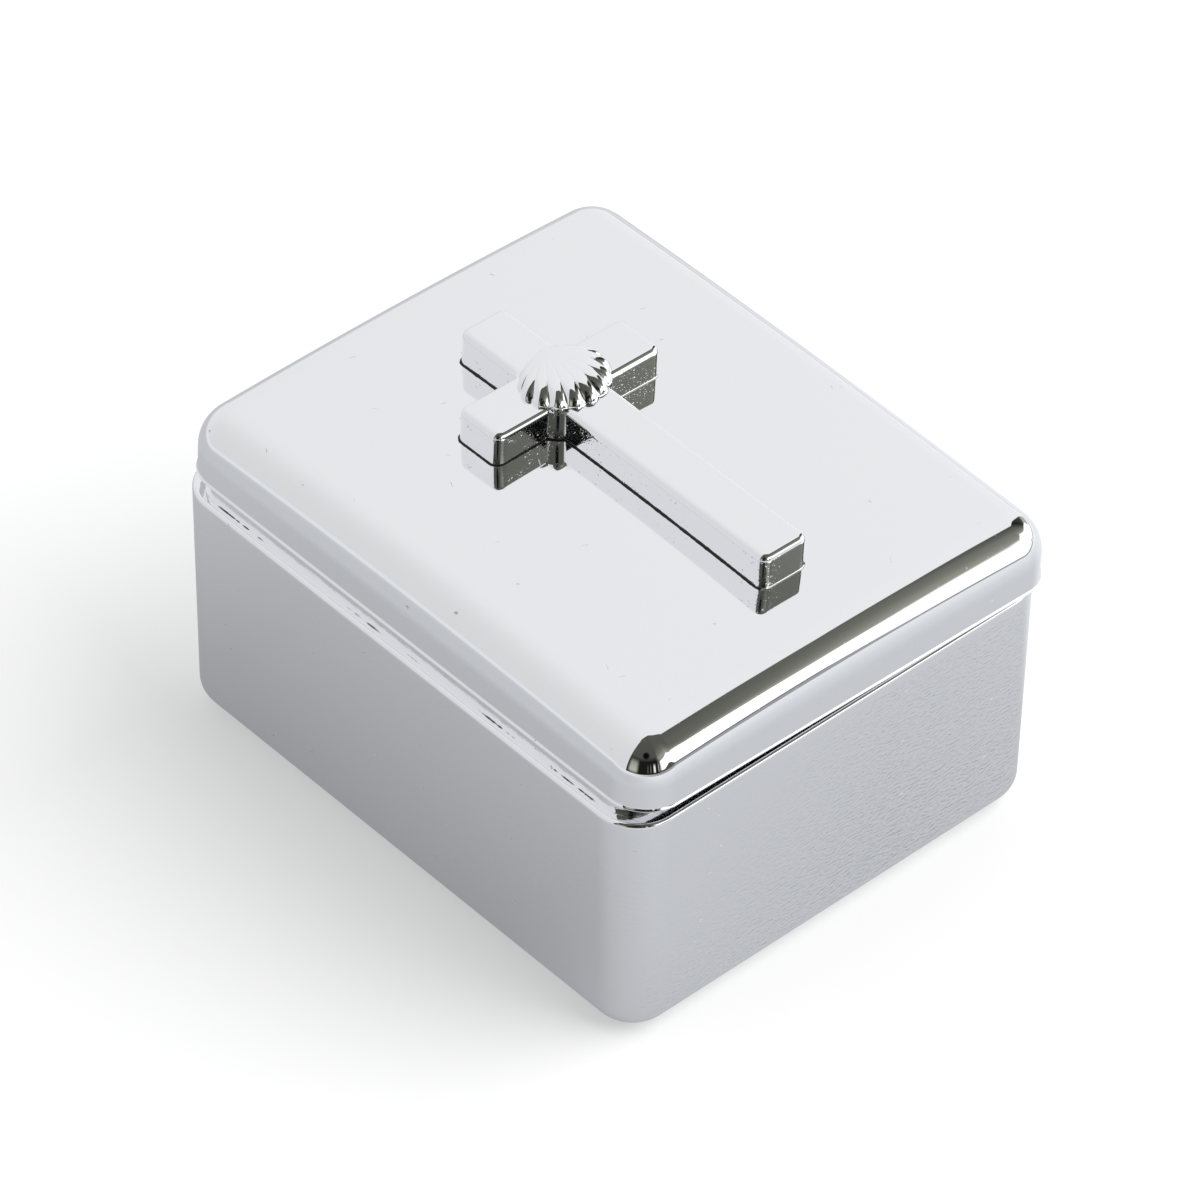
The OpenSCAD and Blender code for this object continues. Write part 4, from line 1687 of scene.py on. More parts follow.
    def build(self, metal: Material) -> Piece:
        """Builds the shell where it rests.

        Args:
            metal: Material of the plating.

        Returns:
            The piece that stands for scallop_shell.
        """
        names = (
            "radius", "height", "ribs", "fan", "hinge", "side", "side_turn", "umbo", "scallop", "groove",
            "smooth",
            "crest", "line", "line_width", "lip", "steps_per_rib", "back_steps", "rows"
        )
        values: dict[str, object] = {name.replace("_", " ").title(): getattr(self, name) for name in names}
        values["Metal"] = metal
        grown = self._tree(values).piece("grown_shell", values)
        dome = Solid.finish("shell_dome", grown.data, 75.0)
        bpy.data.objects.remove(grown)
        cx, cy = self.raised.crossing
        Solid.shift(dome, lambda rows: rows + (cx, cy + self.shift, self.raised.top))
        stud = self.raised.stud("shell_stud", cy, self.raised.top + self.height / 2)
        whole = Solid.join("shell_casting", [dome, self._pillar(-1), self._pillar(1), stud])
        return Solid.shift(whole, self.raised.sizes.open_lid)


# Linings and cushions


class Facing(Enum):
    """Which way a pad's crowned face looks."""

    UP = 1
    DOWN = -1


@dataclass
class VelvetPad:
    """A velvet pad that swells as cloth under pressure and is whipped round its edge.

    Attributes:
        outline: Space it lies in, seen from above, in millimetres.
        back: Height of its flat side, in millimetres.
        thick: Thickness of its space, in millimetres.
        facing: Which way its crowned face looks.
    """

    outline: Outline
    back: float
    thick: float
    facing: Facing
    enlarge: float = 20.0
    slab: float = 0.42
    voxel: float = 0.85
    pressure: float = 4.0
    steps: int = 20
    welt: float = 0.32
    thread: float = 0.07
    stitch_gap: float = 1.15
    stitch_lean: float = 0.38
    stitch_uneven: float = 0.09
    stitch_seed: int = 7
    pull: float = 0.45

    def build(self, name: str, velvet: Material, thread: Material) -> Piece:
        """Builds the pad, on the floor or in the closed lid.

        Args:
            name: Name of the piece.
            velvet: Material of the cover and the welt.
            thread: Material of the stitches.

        Returns:
            The pad with its welt and stitches.
        """
        cushion = self._swell(name)
        path = self._seam(cushion)
        welt = self._welt(path)
        for piece in (cushion, welt):
            dress(piece, velvet)
        stitches = self._stitches(path, thread)
        whole = Solid.join(name, [cushion, welt, stitches])
        whole.data.shade_smooth()
        return whole

    def _swell(self, name: str) -> Piece:
        """Blows up a flat slab of cloth and fits it into its space."""
        o, big = self.outline.inset(self.welt + 0.1), self.enlarge
        half_x, half_y = (o.right - o.left) / 2, (o.back - o.front) / 2
        deep = self.thick * self.slab
        slab = Solid.block(
            "slab", (-half_x * big, -half_y * big, 0.0), (half_x * big, half_y * big, deep * big),
            deep * big * 0.35
        )
        remesh = slab.modifiers.new("even cloth", "REMESH")
        remesh.mode, remesh.voxel_size = "VOXEL", self.voxel * big * MM
        mesh = evaluated(slab)
        slab.modifiers.clear()
        slab.data = mesh
        before = coordinates(mesh)
        after = self._simulate(slab)
        moved = after - before
        far = np.linalg.norm(moved, axis=1, keepdims=True)
        cap = self.thick * big * MM * 0.9
        moved *= np.minimum(1.0, cap / np.maximum(far, 1e-9))
        after = before + moved * (self.pull, self.pull, 1.0)
        points = after / MM / big
        points[:, 2] = np.maximum(points[:, 2] - deep * 0.5, -deep * 0.5)
        low, high = points.min(axis=0), points.max(axis=0)
        room = np.array([half_x, half_y, 0.0])
        shrink = np.minimum(
            1.0, room[:2] / np.maximum(np.abs(np.stack((low[:2], high[:2]))).max(axis=0), 1e-6)
        )
        points[:, :2] *= shrink
        points[:, 2] = (points[:, 2] - low[2]) * (self.thick - 0.06) / (high[2] - low[2])
        mx, my = o.middle
        points[:, 0] += mx
        points[:, 1] += my
        points[:, 2] = self.back + self.facing.value * points[:, 2]
        mesh.vertices.foreach_set("co", (points * MM).ravel())
        mesh.update()
        pad = Solid.finish(name + "_cover", mesh, 80.0)
        bpy.data.objects.remove(slab)
        smoother = pad.modifiers.new("finer", "SUBSURF")
        smoother.levels = smoother.render_levels = 1
        return pad

    def _simulate(self, slab: Piece) -> np.ndarray:
        """Runs the cloth and gives its points."""
        scene = bpy.context.scene
        cloth = slab.modifiers.new("cloth", "CLOTH")
        cloth.settings.quality = 5
        cloth.settings.use_pressure = True
        cloth.settings.uniform_pressure_force = self.pressure
        cloth.settings.effector_weights.gravity = 0.0
        cloth.point_cache.frame_start, cloth.point_cache.frame_end = 1, self.steps
        for frame in range(1, self.steps + 1):
            scene.frame_set(frame)
        graph = bpy.context.evaluated_depsgraph_get()
        mesh = bpy.data.meshes.new_from_object(slab.evaluated_get(graph), depsgraph=graph)
        points = coordinates(mesh)
        bpy.data.meshes.remove(mesh)
        slab.modifiers.clear()
        scene.frame_set(1)
        return points

    def _seam(self, cushion: Piece) -> np.ndarray:
        """Finds the path of the seam along the widest line of the pad.

        Args:
            cushion: The swollen pad.

        Returns:
            Rows of x, y and z in millimetres, closed and evenly spaced.
        """
        points = coordinates(cushion.data) / MM
        middle = points.mean(axis=0)
        seam_z = self.back + self.facing.value * self.thick * 0.42
        near = points[np.abs(points[:, 2] - seam_z) < self.thick * 0.3]
        rough = self.outline.inset(self.welt).with_corner(2.0).points(10, 40)
        way = rough - middle[:2]
        way /= np.linalg.norm(way, axis=1, keepdims=True)
        flat = near[:, :2] - middle[:2]
        angle = np.arctan2(flat[:, 1], flat[:, 0])
        reach = np.linalg.norm(flat, axis=1)
        out = []
        for w in way:
            turn = np.abs(np.angle(np.exp(1j * (angle - math.atan2(w[1], w[0])))))
            out.append(reach[turn < 0.06].max())
        out = np.array(out)
        kernel = np.hanning(9) / np.hanning(9).sum()
        out = np.convolve(np.concatenate((out[-4:], out, out[:4])), kernel, mode="valid")
        limit = np.linalg.norm(rough - middle[:2], axis=1)
        flat = middle[:2] + way * np.minimum(out + self.welt * 0.2, limit - self.welt * 0.1)[:, None]
        loop = np.concatenate((flat, flat[:1]))
        step = np.concatenate(([0.0], np.cumsum(np.linalg.norm(np.diff(loop, axis=0), axis=1))))
        even = np.linspace(0, step[-1], 361)[:-1]
        x, y = (np.interp(even, step, loop[:, k]) for k in (0, 1))
        return np.column_stack((x, y, np.full(len(x), seam_z)))

    def _welt(self, path: np.ndarray) -> Piece:
        """Makes the round welt along the seam."""
        ahead = np.roll(path, -1, axis=0) - np.roll(path, 1, axis=0)
        ahead /= np.linalg.norm(ahead, axis=1, keepdims=True)
        side = np.column_stack((ahead[:, 1], -ahead[:, 0], np.zeros(len(path))))
        a = np.linspace(0, 2 * math.pi, 14, endpoint=False)
        rings = []
        for k, spot in enumerate(path):
            r = self.welt * (1 + 0.06 * math.sin(k * 2.1))
            rings.append(spot + np.outer(np.cos(a) * r, side[k]) + np.outer(np.sin(a) * r, (0, 0, 1)))
        return Solid.tube("welt", rings)

    def _stitches(self, path: np.ndarray, thread: Material) -> Piece:
        """Whips thread round the welt with the shared tree of stitches."""
        n = len(path)
        mesh = new_mesh("seam", path, [], [(k, (k + 1) % n) for k in range(n)])
        values = {
            "Spacing": self.stitch_gap * MM, "Welt": (self.welt + self.thread * 0.55) * MM,
            "Thread": self.thread * MM,
            "Lean": self.stitch_lean, "Uneven": self.stitch_uneven, "Seed": self.stitch_seed,
            "Material": thread,
        }
        made = StitchTree.get(values).piece("stitches", values, mesh)
        made.data.shade_smooth()
        return made


class StitchTree:
    """Builds the shared tree that sets whipped stitches along a path."""

    _made: ShapeTree | None = None

    @classmethod
    def get(cls, values: dict[str, object]) -> ShapeTree:
        """Gives the tree, and builds it at its first use.

        Args:
            values: Value of each input by its name.

        Returns:
            The tree.
        """
        if cls._made:
            return cls._made
        made = ShapeTree("whipped stitches", {"Path": None, **values})
        w, get = made.wires, made.given
        curve = w.node("GeometryNodeMeshToCurve", Mesh=get("Path"))
        points = w.tree.nodes.new("GeometryNodeCurveToPoints")
        points.mode = "LENGTH"
        w.set(points.inputs["Curve"], curve.outputs[0])
        w.set(points.inputs["Length"], get("Spacing"))
        hoop = w.node("GeometryNodeCurvePrimitiveCircle", Resolution=12)
        w.set(hoop.inputs["Radius"], get("Welt"))
        strand = w.node("GeometryNodeCurvePrimitiveCircle", Resolution=6)
        w.set(strand.inputs["Radius"], get("Thread"))
        loop = w.node("GeometryNodeCurveToMesh", Curve=hoop.outputs[0], Profile_Curve=strand.outputs[0])
        chance = w.tree.nodes.new("FunctionNodeRandomValue")
        chance.data_type = "FLOAT"
        low = w.times(get("Uneven"), -1.0)
        floats = [s for s in chance.inputs if s.type == "VALUE" and s.enabled]
        w.set(floats[0], low)
        w.set(floats[1], get("Uneven"))
        w.set(chance.inputs["Seed"], get("Seed"))
        lean = w.plus(get("Lean"), [s for s in chance.outputs if s.enabled][0])
        tilt = w.node("ShaderNodeCombineXYZ", X=lean)
        turned = w.tree.nodes.new("FunctionNodeRotateRotation")
        turned.rotation_space = "LOCAL"
        w.set(turned.inputs[0], points.outputs["Rotation"])
        euler = w.node("FunctionNodeEulerToRotation", Euler=tilt.outputs[0])
        w.set(turned.inputs[1], euler.outputs[0])
        placed = w.node(
            "GeometryNodeInstanceOnPoints", Points=points.outputs["Points"], Instance=loop.outputs[0]
        )
        w.set(placed.inputs["Rotation"], turned.outputs[0])
        made.close(placed.outputs[0], get("Material"))
        cls._made = made
        return made


@dataclass
class Linings:
    """The flocked wall lining and the felt under the box."""

    sizes: BoxSizes
    thick: float = 0.9
    clear: float = 0.1
    drop: float = 0.5
    round_top: float = 0.4

    def walls(self) -> Piece:
        """Builds the lining round the inside of the walls, softly uneven on its face."""
        s = self.sizes
        outer = s.cavity.inset(self.clear)
        low = s.felt_proud + s.floor + s.inner_foot
        high = s.neck_top - self.drop
        rings = []

        def at(inset: float, z: float, soft: float = 0.0) -> None:
            flat = outer.inset(inset).points(16, 60)
            inward = outer.inset(inset + 0.1).points(16, 60) - flat
            x, y = flat.T
            wave = np.sin(x * 0.9 + z * 0.35) + np.sin(y * 0.7 - z * 0.5) + np.sin((x + y) * 1.9 + z)
            flat = flat + inward * (wave * soft)[:, None]
            rings.append(np.column_stack((flat, np.full(len(flat), z))))

        for share in np.linspace(0, 1, 6):
            at(0.0, low + (high - self.round_top - low) * share)
        for a in quarter(6)[1:]:
            at(self.round_top * (1 - math.cos(a)), high - self.round_top * (1 - math.sin(a)))
        for a in quarter(6, rising=False):
            at(
                self.thick - self.round_top * (1 - math.cos(a)), high - self.round_top * (1 - math.sin(a)),
                0.05
            )
        for share in np.linspace(1, 0, 26)[1:]:
            at(self.thick, low + (high - self.round_top - low) * share, 0.15)
        return Solid.tube("flocked_lining", rings)

    def base(self) -> Piece:
        """Builds the felt, with its cut edge eased."""
        s = self.sizes
        outer = s.body.inset(s.felt_border + 0.1).with_corner(s.corner - 0.1)
        top = s.felt_depth - 0.05
        inner = outer.middle
        rings = []
        for share in np.linspace(0.08, 0.97, 14):
            low, high = outer.points().min(axis=0) * share, outer.points().max(axis=0) * share
            rings.append(ring(Outline(*low, *high, s.corner * share), 0.0))
        rings += [ring(outer.inset(by), z) for by, z in ((0.12, 0.0), (0.03, 0.06))]
        rings += [ring(outer, 0.16), ring(outer, top)]
        return Solid.loft("felt_sheet", rings, (*inner, 0.0), (*inner, top))


# Hinge


@dataclass
class PinHinge:
    """The three-knuckle hinge on the right-hand wall."""

    sizes: BoxSizes
    length: float = 22.0
    bore: float = 0.8
    pin: float = 0.75
    head: float = 1.1
    head_height: float = 0.5
    gap: float = 0.2
    middle_share: float = 0.4
    leaf: float = 0.8
    body_leaf: float = 5.5
    lid_leaf: float = 2.7
    tongue_drop: float = 0.5
    seat_border: float = 0.6
    edge: float = 0.12

    @property
    def wall(self) -> float:
        """Place of the leaves' backs in x."""
        return self.sizes.lid.right

    @property
    def middle(self) -> float:
        """Half the length of the middle knuckle."""
        return self.length * self.middle_share / 2

    @property
    def stand_off(self) -> float:
        """How far the leaves stay from the level of the axis."""
        return self.sizes.knuckle + self.sizes.knuckle_gap

    def _along(self, rows: np.ndarray) -> np.ndarray:
        """Turns rows of x, y and way along an axis onto the hinge's axis."""
        x0, z0 = self.sizes.hinge
        return np.column_stack((x0 + rows[:, 0], rows[:, 2], z0 + rows[:, 1]))

    def _knuckle(self, y0: float, y1: float) -> Piece:
        """Makes a bored knuckle with eased ends."""
        r, e = self.sizes.knuckle, self.edge
        profile = [(self.bore, y0 + 0.05), (self.bore + 0.05, y0), (r - e, y0)]
        profile += [(r - e * (1 - math.sin(a)), y0 + e * (1 - math.cos(a))) for a in quarter(4)[1:]]
        profile += [(r, y0 + (y1 - y0) * s) for s in (0.25, 0.5, 0.75)]
        profile += [(r - e * (1 - math.cos(a)), y1 - e * (1 - math.sin(a))) for a in quarter(4)]
        profile += [(self.bore + 0.05, y1), (self.bore, y1 - 0.05)]
        return Solid.turned("knuckle", profile, self._along)

    def seat(self) -> Piece:
        """Makes the flat seat that is cast on the box under the body's leaf."""
        s = self.sizes
        low = s.lid_base - self.stand_off - self.body_leaf - self.seat_border
        half = self.length / 2 + self.seat_border
        return Solid.block("hinge_seat", (s.width / 2 - 1.2, -half, low), (self.wall, half, s.rim - 0.3), 0.2)

    def body_side(self) -> Piece:
        """Builds the leaf on the box with the two outer knuckles."""
        z = self.sizes.lid_base
        half = self.length / 2
        outer = half - self.middle - self.gap
        top = z - self.stand_off
        parts = [
            Solid.block(
                "leaf", (self.wall, -half, top - self.body_leaf), (self.wall + self.leaf, half, top),
                self.edge
            )
        ]
        for y in (-half, half - outer):
            parts.append(
                Solid.block(
                    "tongue", (self.wall, y, top - self.leaf),
                    (self.wall + self.leaf, y + outer, z - self.tongue_drop), self.edge
                )
            )
            parts.append(self._knuckle(y, y + outer))
        return Solid.join("body_leaf_plate", parts)

    def lid_side(self) -> Piece:
        """Builds the leaf on the lid with the middle knuckle."""
        z = self.sizes.lid_base
        half = self.length / 2
        wide = Solid.block(
            "leaf", (self.wall, -half, z + self.stand_off),
            (self.wall + self.leaf, half, z + self.lid_leaf), self.edge
        )
        tongue = Solid.block(
            "tongue", (self.wall, -self.middle, z + self.tongue_drop),
            (self.wall + self.leaf, self.middle, z + self.lid_leaf), self.edge
        )
        whole = Solid.join("lid_leaf_plate", [wide, tongue, self._knuckle(-self.middle, self.middle)])
        return Solid.shift(whole, self.sizes.open_lid)

    def pin_piece(self) -> Piece:
        """Builds the pin with its two low domed heads."""
        half, h = self.length / 2, self.head_height
        dome = [(self.head * math.sin(a), half + h - 0.3 * (1 - math.cos(a))) for a in quarter(7)]
        dome += [(self.head, half + 0.08), (self.head - 0.08, half), (self.pin, half)]
        other = [(r, -y) for r, y in dome[::-1]]
        shaft = [(self.pin, y) for y in (half * 0.5, 0.0, -half * 0.5)]
        return Solid.turned("pin_turned", dome + shaft + other, self._along)


# Studio


# Share of the lamp's way that goes to the right and to the front, and half the box's footprint
LAMP_RIGHT, LAMP_FRONT = 0.73, 0.69
HALF_WIDE, HALF_LONG = 27.0, 33.0


@dataclass(frozen=True)
class FloorPaper(Finish):
    """Pale paper that the camera sees white and the metal sees as a glowing grey with painted shadow and
    light.

    Attributes:
        name: Name of the material.
        seen: Brightness of the paper.
        lift: Share of plain white that the camera sees.
        mirrored: Share of the painted glow that the metal sees.
    """

    name: str = "floor_paper"
    seen: float = 0.93
    lift: float = 0.4
    mirrored: float = 0.85

    def shader(self, w: Wires, place: Socket) -> Node:
        """Writes the surface shader.

        Args:
            w: Wires of the material.
            place: Place on the surface.

        Returns:
            The shader.
        """
        rays = w.node("ShaderNodeLightPath")
        lit = w.node("ShaderNodeBsdfDiffuse", Color=(self.seen, self.seen, self.seen, 1.0))
        white = w.node("ShaderNodeEmission", Color=(1.0, 1.0, 1.0, 1.0))
        paper = w.mixed(w.times(rays.outputs["Is Camera Ray"], self.lift), lit, white)
        # What the metal mirrors is a painted glow, not the lit paper
        painted_glow = w.node("ShaderNodeEmission", Color=self._painted_floor_glow(w, place))
        return w.mixed(rays.outputs["Is Glossy Ray"], paper, w.mixed(self.mirrored, paper, painted_glow))

    @staticmethod
    def _painted_floor_glow(w: Wires, place: Socket) -> Socket:
        """Writes the floor as the plating mirrors it: a glowing grey with a painted shadow round the box,
        painted light on the lamp's side and a painted window far off in front.

        Args:
            w: Wires of the material.
            place: Place on the floor.

        Returns:
            The colour.
        """
        x, y, _ = w.millimetres(place)
        out_x = w.larger(w.minus(w.absolute(x), HALF_WIDE), 0.0)
        out_y = w.larger(w.minus(w.absolute(y), HALF_LONG), 0.0)
        away = w.length(out_x, out_y)
        reach = w.larger(w.length(x, y), 1.0)
        lamp_side = w.divided(w.minus(w.times(x, LAMP_RIGHT), w.times(y, LAMP_FRONT)), reach)
        # Painted shadow round the box: darker near it and on the side away from the lamp
        shady = w.track(
            away, (0.0, 0.36), (25.0, 0.46), (45.0, 0.53), (90.0, 0.515), (150.0, 0.52), (250.0, 0.60),
            (330.0, 0.80)
        )
        sunny = w.track(
            away, (0.0, 0.54), (30.0, 0.58), (50.0, 0.65), (80.0, 0.71), (120.0, 0.79), (290.0, 0.90)
        )
        # A dim band and then a painted window far off in front, glowing in the floor
        front_turn = w.degrees(w.math("ARCTAN2", w.times(y, -1.0), x))
        skirting = w.track(away, (290.0, 0.0), (370.0, 1.0))
        far = w.times(w.ramp(away, 650.0, 950.0), w.ramp(front_turn, 58.4, 57.4))
        beyond = w.plus(0.22, w.times(far, 1.3))
        sunny = w.plus(sunny, w.times(skirting, w.minus(beyond, sunny)))
        side = w.ramp(lamp_side, -0.5, 0.5)
        level = w.plus(w.times(shady, w.minus(1.0, side)), w.times(sunny, side))
        # Painted light on the floor to the right
        right = w.ramp(w.divided(x, reach), 0.75, 0.98)
        level = w.plus(level, w.times(right, w.track(away, (60.0, 0.26), (110.0, 0.10), (300.0, 0.2))))
        level = w.times(level, 0.89)
        return w.tinted(level, 0.975, 1.0, 1.045)


@dataclass
class Studio:
    """Floor, light tent, lamp and camera."""

    focal: float = 280.97
    camera_place: tuple[float, float, float] = (-456.62, -490.85, 646.26)
    camera_turn: tuple[float, float, float] = (-0.818673276, 0.014460692, 0.734425127)
    lamp_power: float = 3.15
    lamp_size: float = 62.0
    lamp_height: float = 45.0

    def camera(self) -> None:
        """Places the camera as in the photograph and makes it the scene's camera."""
        data = bpy.data.cameras.new("camera")
        data.lens, data.sensor_width = self.focal, 36.0
        data.clip_start, data.clip_end = 0.01, 50.0
        eye = in_scene("camera", data)
        rx, ry, rz = self.camera_turn
        turn = Matrix.Rotation(rx, 3, "X") @ Matrix.Rotation(ry, 3, "Y") @ Matrix.Rotation(rz, 3, "Z")
        eye.matrix_world = Matrix.Translation(Vector(self.camera_place) * MM) @ turn.transposed().to_4x4()
        bpy.context.scene.camera = eye

    def floor(self) -> None:
        """Lays the pale floor, which the camera sees white and the metal sees as a glowing grey with painted
        shadow and light.
        """
        mesh = bpy.data.meshes.new("floor")
        half = 3.0
        mesh.from_pydata(
            [(-half, -half, 0), (half, -half, 0), (half, half, 0), (-half, half, 0)], [], [(0, 1, 2, 3)]
        )
        sheet = in_scene("floor", mesh)
        mesh.materials.append(FloorPaper().make())

    def tent(self) -> None:
        """Surrounds the box with a light tent that is open to a dim room with a window in front."""
        world = bpy.data.worlds.new("light tent")
        bpy.context.scene.world = world
        world.use_nodes = True
        world.node_tree.nodes.clear()
        w = Wires(world.node_tree)
        way = w.vector("NORMALIZE", w.node("ShaderNodeTexCoord").outputs["Generated"])
        x, y, z = w.split(way)
        height = w.degrees(w.math("ARCSINE", z))
        turn = w.degrees(w.math("ARCTAN2", w.times(y, -1.0), x))

        cloth, level = self._tent_cloth(w, x, y, z)
        room = self._room(w, height, turn)
        strip = self._window(w, height, turn)
        lit = w.blend(strip, room, (1.7, 1.7, 1.7, 1.0))
        around = w.blend(cloth, lit, w.tinted(level, 0.993, 1.0, 1.01))
        # The dark camera on its stand
        eye = Vector(self.camera_place).normalized()
        towards = w.plus(w.plus(w.times(x, eye.x), w.times(y, eye.y)), w.times(z, eye.z))
        around = w.blend(
            w.ramp(towards, math.cos(math.radians(10.0)), math.cos(math.radians(4.5))), around,
            (0.004, 0.004, 0.004, 1.0)
        )
        around = w.blend(0.087, around, (0.0, 0.0, 0.0, 1.0))
        seen = w.node("ShaderNodeLightPath").outputs["Is Camera Ray"]
        shine = w.node("ShaderNodeBackground", Color=w.blend(seen, around, (1.0, 1.0, 1.0, 1.0)))
        end = w.node("ShaderNodeOutputWorld")
        w.tree.links.new(shine.outputs[0], end.inputs["Surface"])

    def _tent_cloth(self, w: Wires, x: Socket, y: Socket, z: Socket) -> tuple[Socket, Socket]:
        """Writes where the tent's cloth hangs and how bright it is.

        Args:
            w: Wires of the world.
            x: Direction to the right.
            y: Direction to the back.
            z: Direction upwards.

        Returns:
            The mask of the cloth and its brightness.
        """
        edge = w.track(
            x, (-0.95, -0.03), (-0.6, -0.02), (-0.35, 0.0), (-0.2, 0.03), (0.07, 0.02), (0.2, -0.07),
            (0.44, -0.16), (0.48, -0.22), (0.515, -0.27),
            (0.54, -0.29), (0.565, -0.27), (0.59, -0.24), (0.62, -0.17), (0.64, -0.13), (0.75, 0.04),
            (0.91, 0.16), (0.97, 0.27)
        )
        cloth = w.ramp(w.minus(y, edge), -0.012, 0.012)
        level = w.track(x, (-0.95, 0.765), (-0.5, 0.80), (0.0, 0.87), (0.5, 0.905), (0.9, 0.97))
        level = w.plus(level, w.track(z, (0.5, 0.0), (0.95, 0.03)))
        return cloth, level

    def _window(self, w: Wires, height: Socket, turn: Socket) -> Socket:
        """Writes the mask of the bright window low in front.

        Args:
            w: Wires of the world.
            height: Elevation of the direction in degrees.
            turn: Degrees from the right round the front.

        Returns:
            The mask.
        """
        top = w.track(
            turn, (-8.0, 8.0), (6.0, 17.0), (20.0, 22.0), (32.0, 32.0), (44.0, 29.0), (47.0, 26.6),
            (50.0, 23.5), (54.0, 19.6),
            (55.8, 20.3), (56.6, 23.5), (57.1, 28.5), (64.0, 28.5), (72.0, 34.0), (84.0, 29.0), (95.0, 26.0)
        )
        bottom = w.track(
            turn, (0.0, -20.0), (10.0, -10.0), (20.0, 1.5), (32.0, 0.5), (57.4, -2.5), (58.3, 1.0),
            (62.0, 2.0), (70.0, 10.0),
            (76.0, 12.0), (88.0, 4.0)
        )
        below_top = w.ramp(w.minus(height, top), -2.0, 1.5, 1.0, 0.0)
        above_bottom = w.ramp(w.minus(height, bottom), -1.0, 1.5)
        wide = w.times(w.ramp(turn, -6.0, 2.0), w.ramp(turn, 92.0, 100.0, 1.0, 0.0))
        return w.times(w.times(below_top, above_bottom), wide)

    def _room(self, w: Wires, height: Socket, turn: Socket) -> Socket:
        """Writes the dim room above and beside the window.

        Args:
            w: Wires of the world.
            height: Elevation of the direction in degrees.
            turn: Degrees from the right round the front.

        Returns:
            The colour.
        """
        top = w.track(
            turn, (0.0, 15.0), (20.0, 22.0), (32.0, 32.0), (47.0, 26.0), (54.0, 20.0), (60.0, 27.0),
            (72.0, 36.0), (95.0, 32.0)
        )
        over = w.minus(height, top)
        glow = w.track(
            over, (-8.0, 0.1), (0.0, 0.36), (4.0, 0.30), (8.0, 0.22), (12.0, 0.17), (17.0, 0.14),
            (27.0, 0.105)
        )
        glow = w.times(glow, w.track(turn, (4.0, 0.12), (14.0, 0.7), (20.0, 1.0)))
        right_low = w.times(w.ramp(turn, 4.0, -4.0), w.track(height, (10.0, 0.45), (15.0, 0.02)))
        glow = w.plus(glow, right_low)
        behind = w.ramp(turn, 94.0, 106.0)
        back = w.track(height, (30.0, 0.012), (40.0, 0.085), (70.0, 0.09))
        patch = w.times(w.ramp(turn, 148.0, 158.0), w.ramp(turn, 168.0, 177.0, 1.0, 0.0))
        patch = w.times(patch, w.track(height, (0.0, 0.1), (8.0, 0.5), (24.0, 0.35), (34.0, 0.0)))
        # Light between the stands and folds beside the window
        stripes = w.track(
            turn, (101.0, 0.0), (102.0, 0.7), (104.0, 0.0), (109.0, 0.0), (110.5, 0.9), (113.5, 0.9),
            (115.0, 0.0), (120.0, 0.0), (121.0, 0.35), (122.0, 0.0), (127.0, 0.0), (127.8, 0.25), (128.6, 0.0)
        )
        stripes = w.times(stripes, w.track(height, (2.0, 0.0), (5.0, 1.0), (17.0, 1.0), (25.0, 0.0)))
        back = w.plus(w.plus(back, patch), stripes)
        dim = w.plus(w.times(glow, w.minus(1.0, behind)), w.times(back, behind))
        return w.tinted(dim, 1.0, 1.02, 0.88)

    def lamp(self) -> None:
        """Lights the box softly from the window's side, by a lamp that the metal doesn't mirror."""
        data = bpy.data.lights.new("key", "SUN")
        data.energy, data.angle = self.lamp_power, math.radians(self.lamp_size)
        key = in_scene("key", data)
        rise = math.radians(self.lamp_height)
        level = math.cos(rise)
        away = Vector((LAMP_RIGHT * level, -LAMP_FRONT * level, math.sin(rise))).normalized()
        key.rotation_mode = "QUATERNION"
        key.rotation_quaternion = away.to_track_quat("Z", "Y")
        key.visible_glossy = False

    def build(self) -> None:
        """Sets up the whole studio."""
        bpy.context.scene.view_settings.view_transform = "Standard"
        self.camera()
        self.floor()
        self.tent()
        self.lamp()


def dress(piece: Piece, material: Material) -> None:
    """Gives an object one material in all its slots."""
    if not piece.data.materials:
        piece.data.materials.append(material)
    for place in piece.material_slots:
        place.material = material


def settle_in(piece: Piece, node: str, body: str) -> None:
    """Gives a piece its place in the frame.

    Args:
        piece: The piece.
        node: The solid it stands for.
        body: The body it moves with.
    """
    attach(piece, body)
    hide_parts(node)
    LOG.info("%s for %s on %s: %d faces", piece.name, node, body, len(piece.data.polygons))


FLOOR_PAD_THICK, LID_PAD_THICK = 2.6, 1.4
PAD_CLEAR, PAD_CORNER = 0.3, 0.8


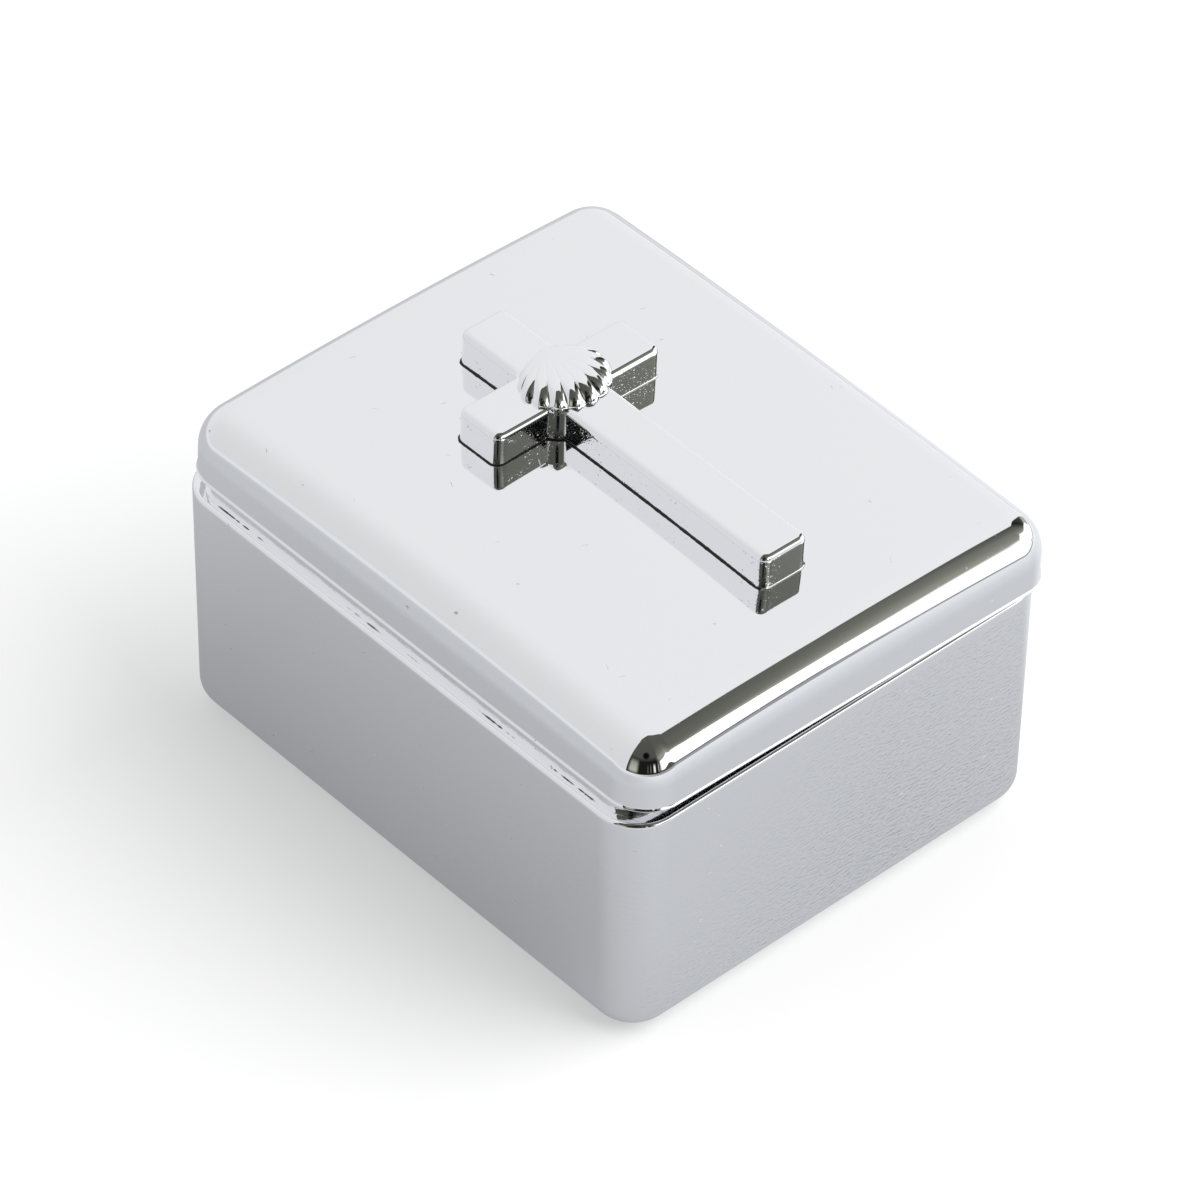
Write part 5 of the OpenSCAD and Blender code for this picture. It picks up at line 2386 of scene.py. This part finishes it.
def main() -> None:
    """Loads the frame, builds every piece and reports it."""
    logging.basicConfig(level=logging.INFO, format="%(message)s")
    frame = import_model()
    sizes = BoxSizes()
    cross_sizes = CrossSizes()
    Studio().build()
    body_plate = Plating(
        "silver_plate_body", dirt_and_shade=(0.10, 0.085, 0.07), dirt_and_shade_mask=neck_foot_dirt_and_shade, uneven=body_skin
    ).make()
    lid_plate = Plating("silver_plate_lid", dirt_and_shade_mask=CrossFootShadeAndResidue(0.22, 0.3), satin=lid_inside).make()
    raised_plate = Plating(
        "silver_plate_raised", pits=0.012, lint=0.0, dirt_and_shade_mask=CrossFootShadeAndResidue(0.35, 0.17)
    ).make()
    hinge_plate = Plating("silver_plate_hinge", roughness=0.09, grain=0.003).make()
    steel = PinSteel().make()
    velvet = Pile("velvet", (0.012, 0.020, 0.075), (0.050, 0.080, 0.230), 2600.0, 0.05, 0.45, 0.6).make()
    flock = Pile("flock", (0.014, 0.022, 0.075), (0.050, 0.080, 0.220), 3800.0, 0.04, 0.25, 0.35).make()
    felt = Pile("felt", (0.008, 0.009, 0.012), (0.045, 0.047, 0.055), 900.0, 0.08, 0.1, 0.15).make()
    thread = SilkThread().make()

    hinge = PinHinge(sizes)
    raised = RaisedCross(sizes, cross_sizes)
    linings = Linings(sizes)
    box = Solid.join("box_casting", [Solid.settle(OpenBox(sizes).build()), hinge.seat()])
    hard = (
        (box, "box_body", "base", "silver_plate", body_plate),
        (CrownedLid(sizes).build(), "lid", "lid", "silver_plate", lid_plate),
        (raised.build(), "cross", "lid", "silver_plate", raised_plate),
        (FlutedShell(raised).build(raised_plate), "scallop_shell", "lid", "silver_plate", raised_plate),
        (hinge.body_side(), "body_hinge_leaf", "base", "silver_plate", hinge_plate),
        (hinge.lid_side(), "lid_hinge_leaf", "lid", "silver_plate", hinge_plate),
        (hinge.pin_piece(), "hinge_pin", "base", "pin_steel", steel),
        (linings.walls(), "wall_lining", "base", "velvet", flock),
        (linings.base(), "base_felt", "base", "felt", felt),
    )
    for piece, node, body, slot, material in hard:
        Solid.settle(piece)
        dress(piece, material)
        dress(frame["nodes"][node], material)
        settle_in(piece, node, body)

    inset = linings.clear + linings.thick + PAD_CLEAR
    floor_space = sizes.cavity.inset(inset).with_corner(max(sizes.corner - sizes.wall - inset, PAD_CORNER))
    on_floor = VelvetPad(floor_space, sizes.felt_proud + sizes.floor, FLOOR_PAD_THICK, Facing.UP)
    lid_space = sizes.lid.inset(sizes.lid_shoulder + PAD_CLEAR).with_corner(PAD_CORNER)
    in_lid = VelvetPad(lid_space, sizes.shoulder - sizes.lid_top, LID_PAD_THICK, Facing.DOWN)
    cushion = on_floor.build("floor_cushion", velvet, thread)
    panel = Solid.shift(in_lid.build("lid_panel", velvet, thread), sizes.open_lid)
    for piece, node, body in ((cushion, "floor_pad", "base"), (panel, "lid_pad", "lid")):
        dress(frame["nodes"][node], velvet)
        settle_in(piece, node, body)


if __name__ == "__main__":
    main()
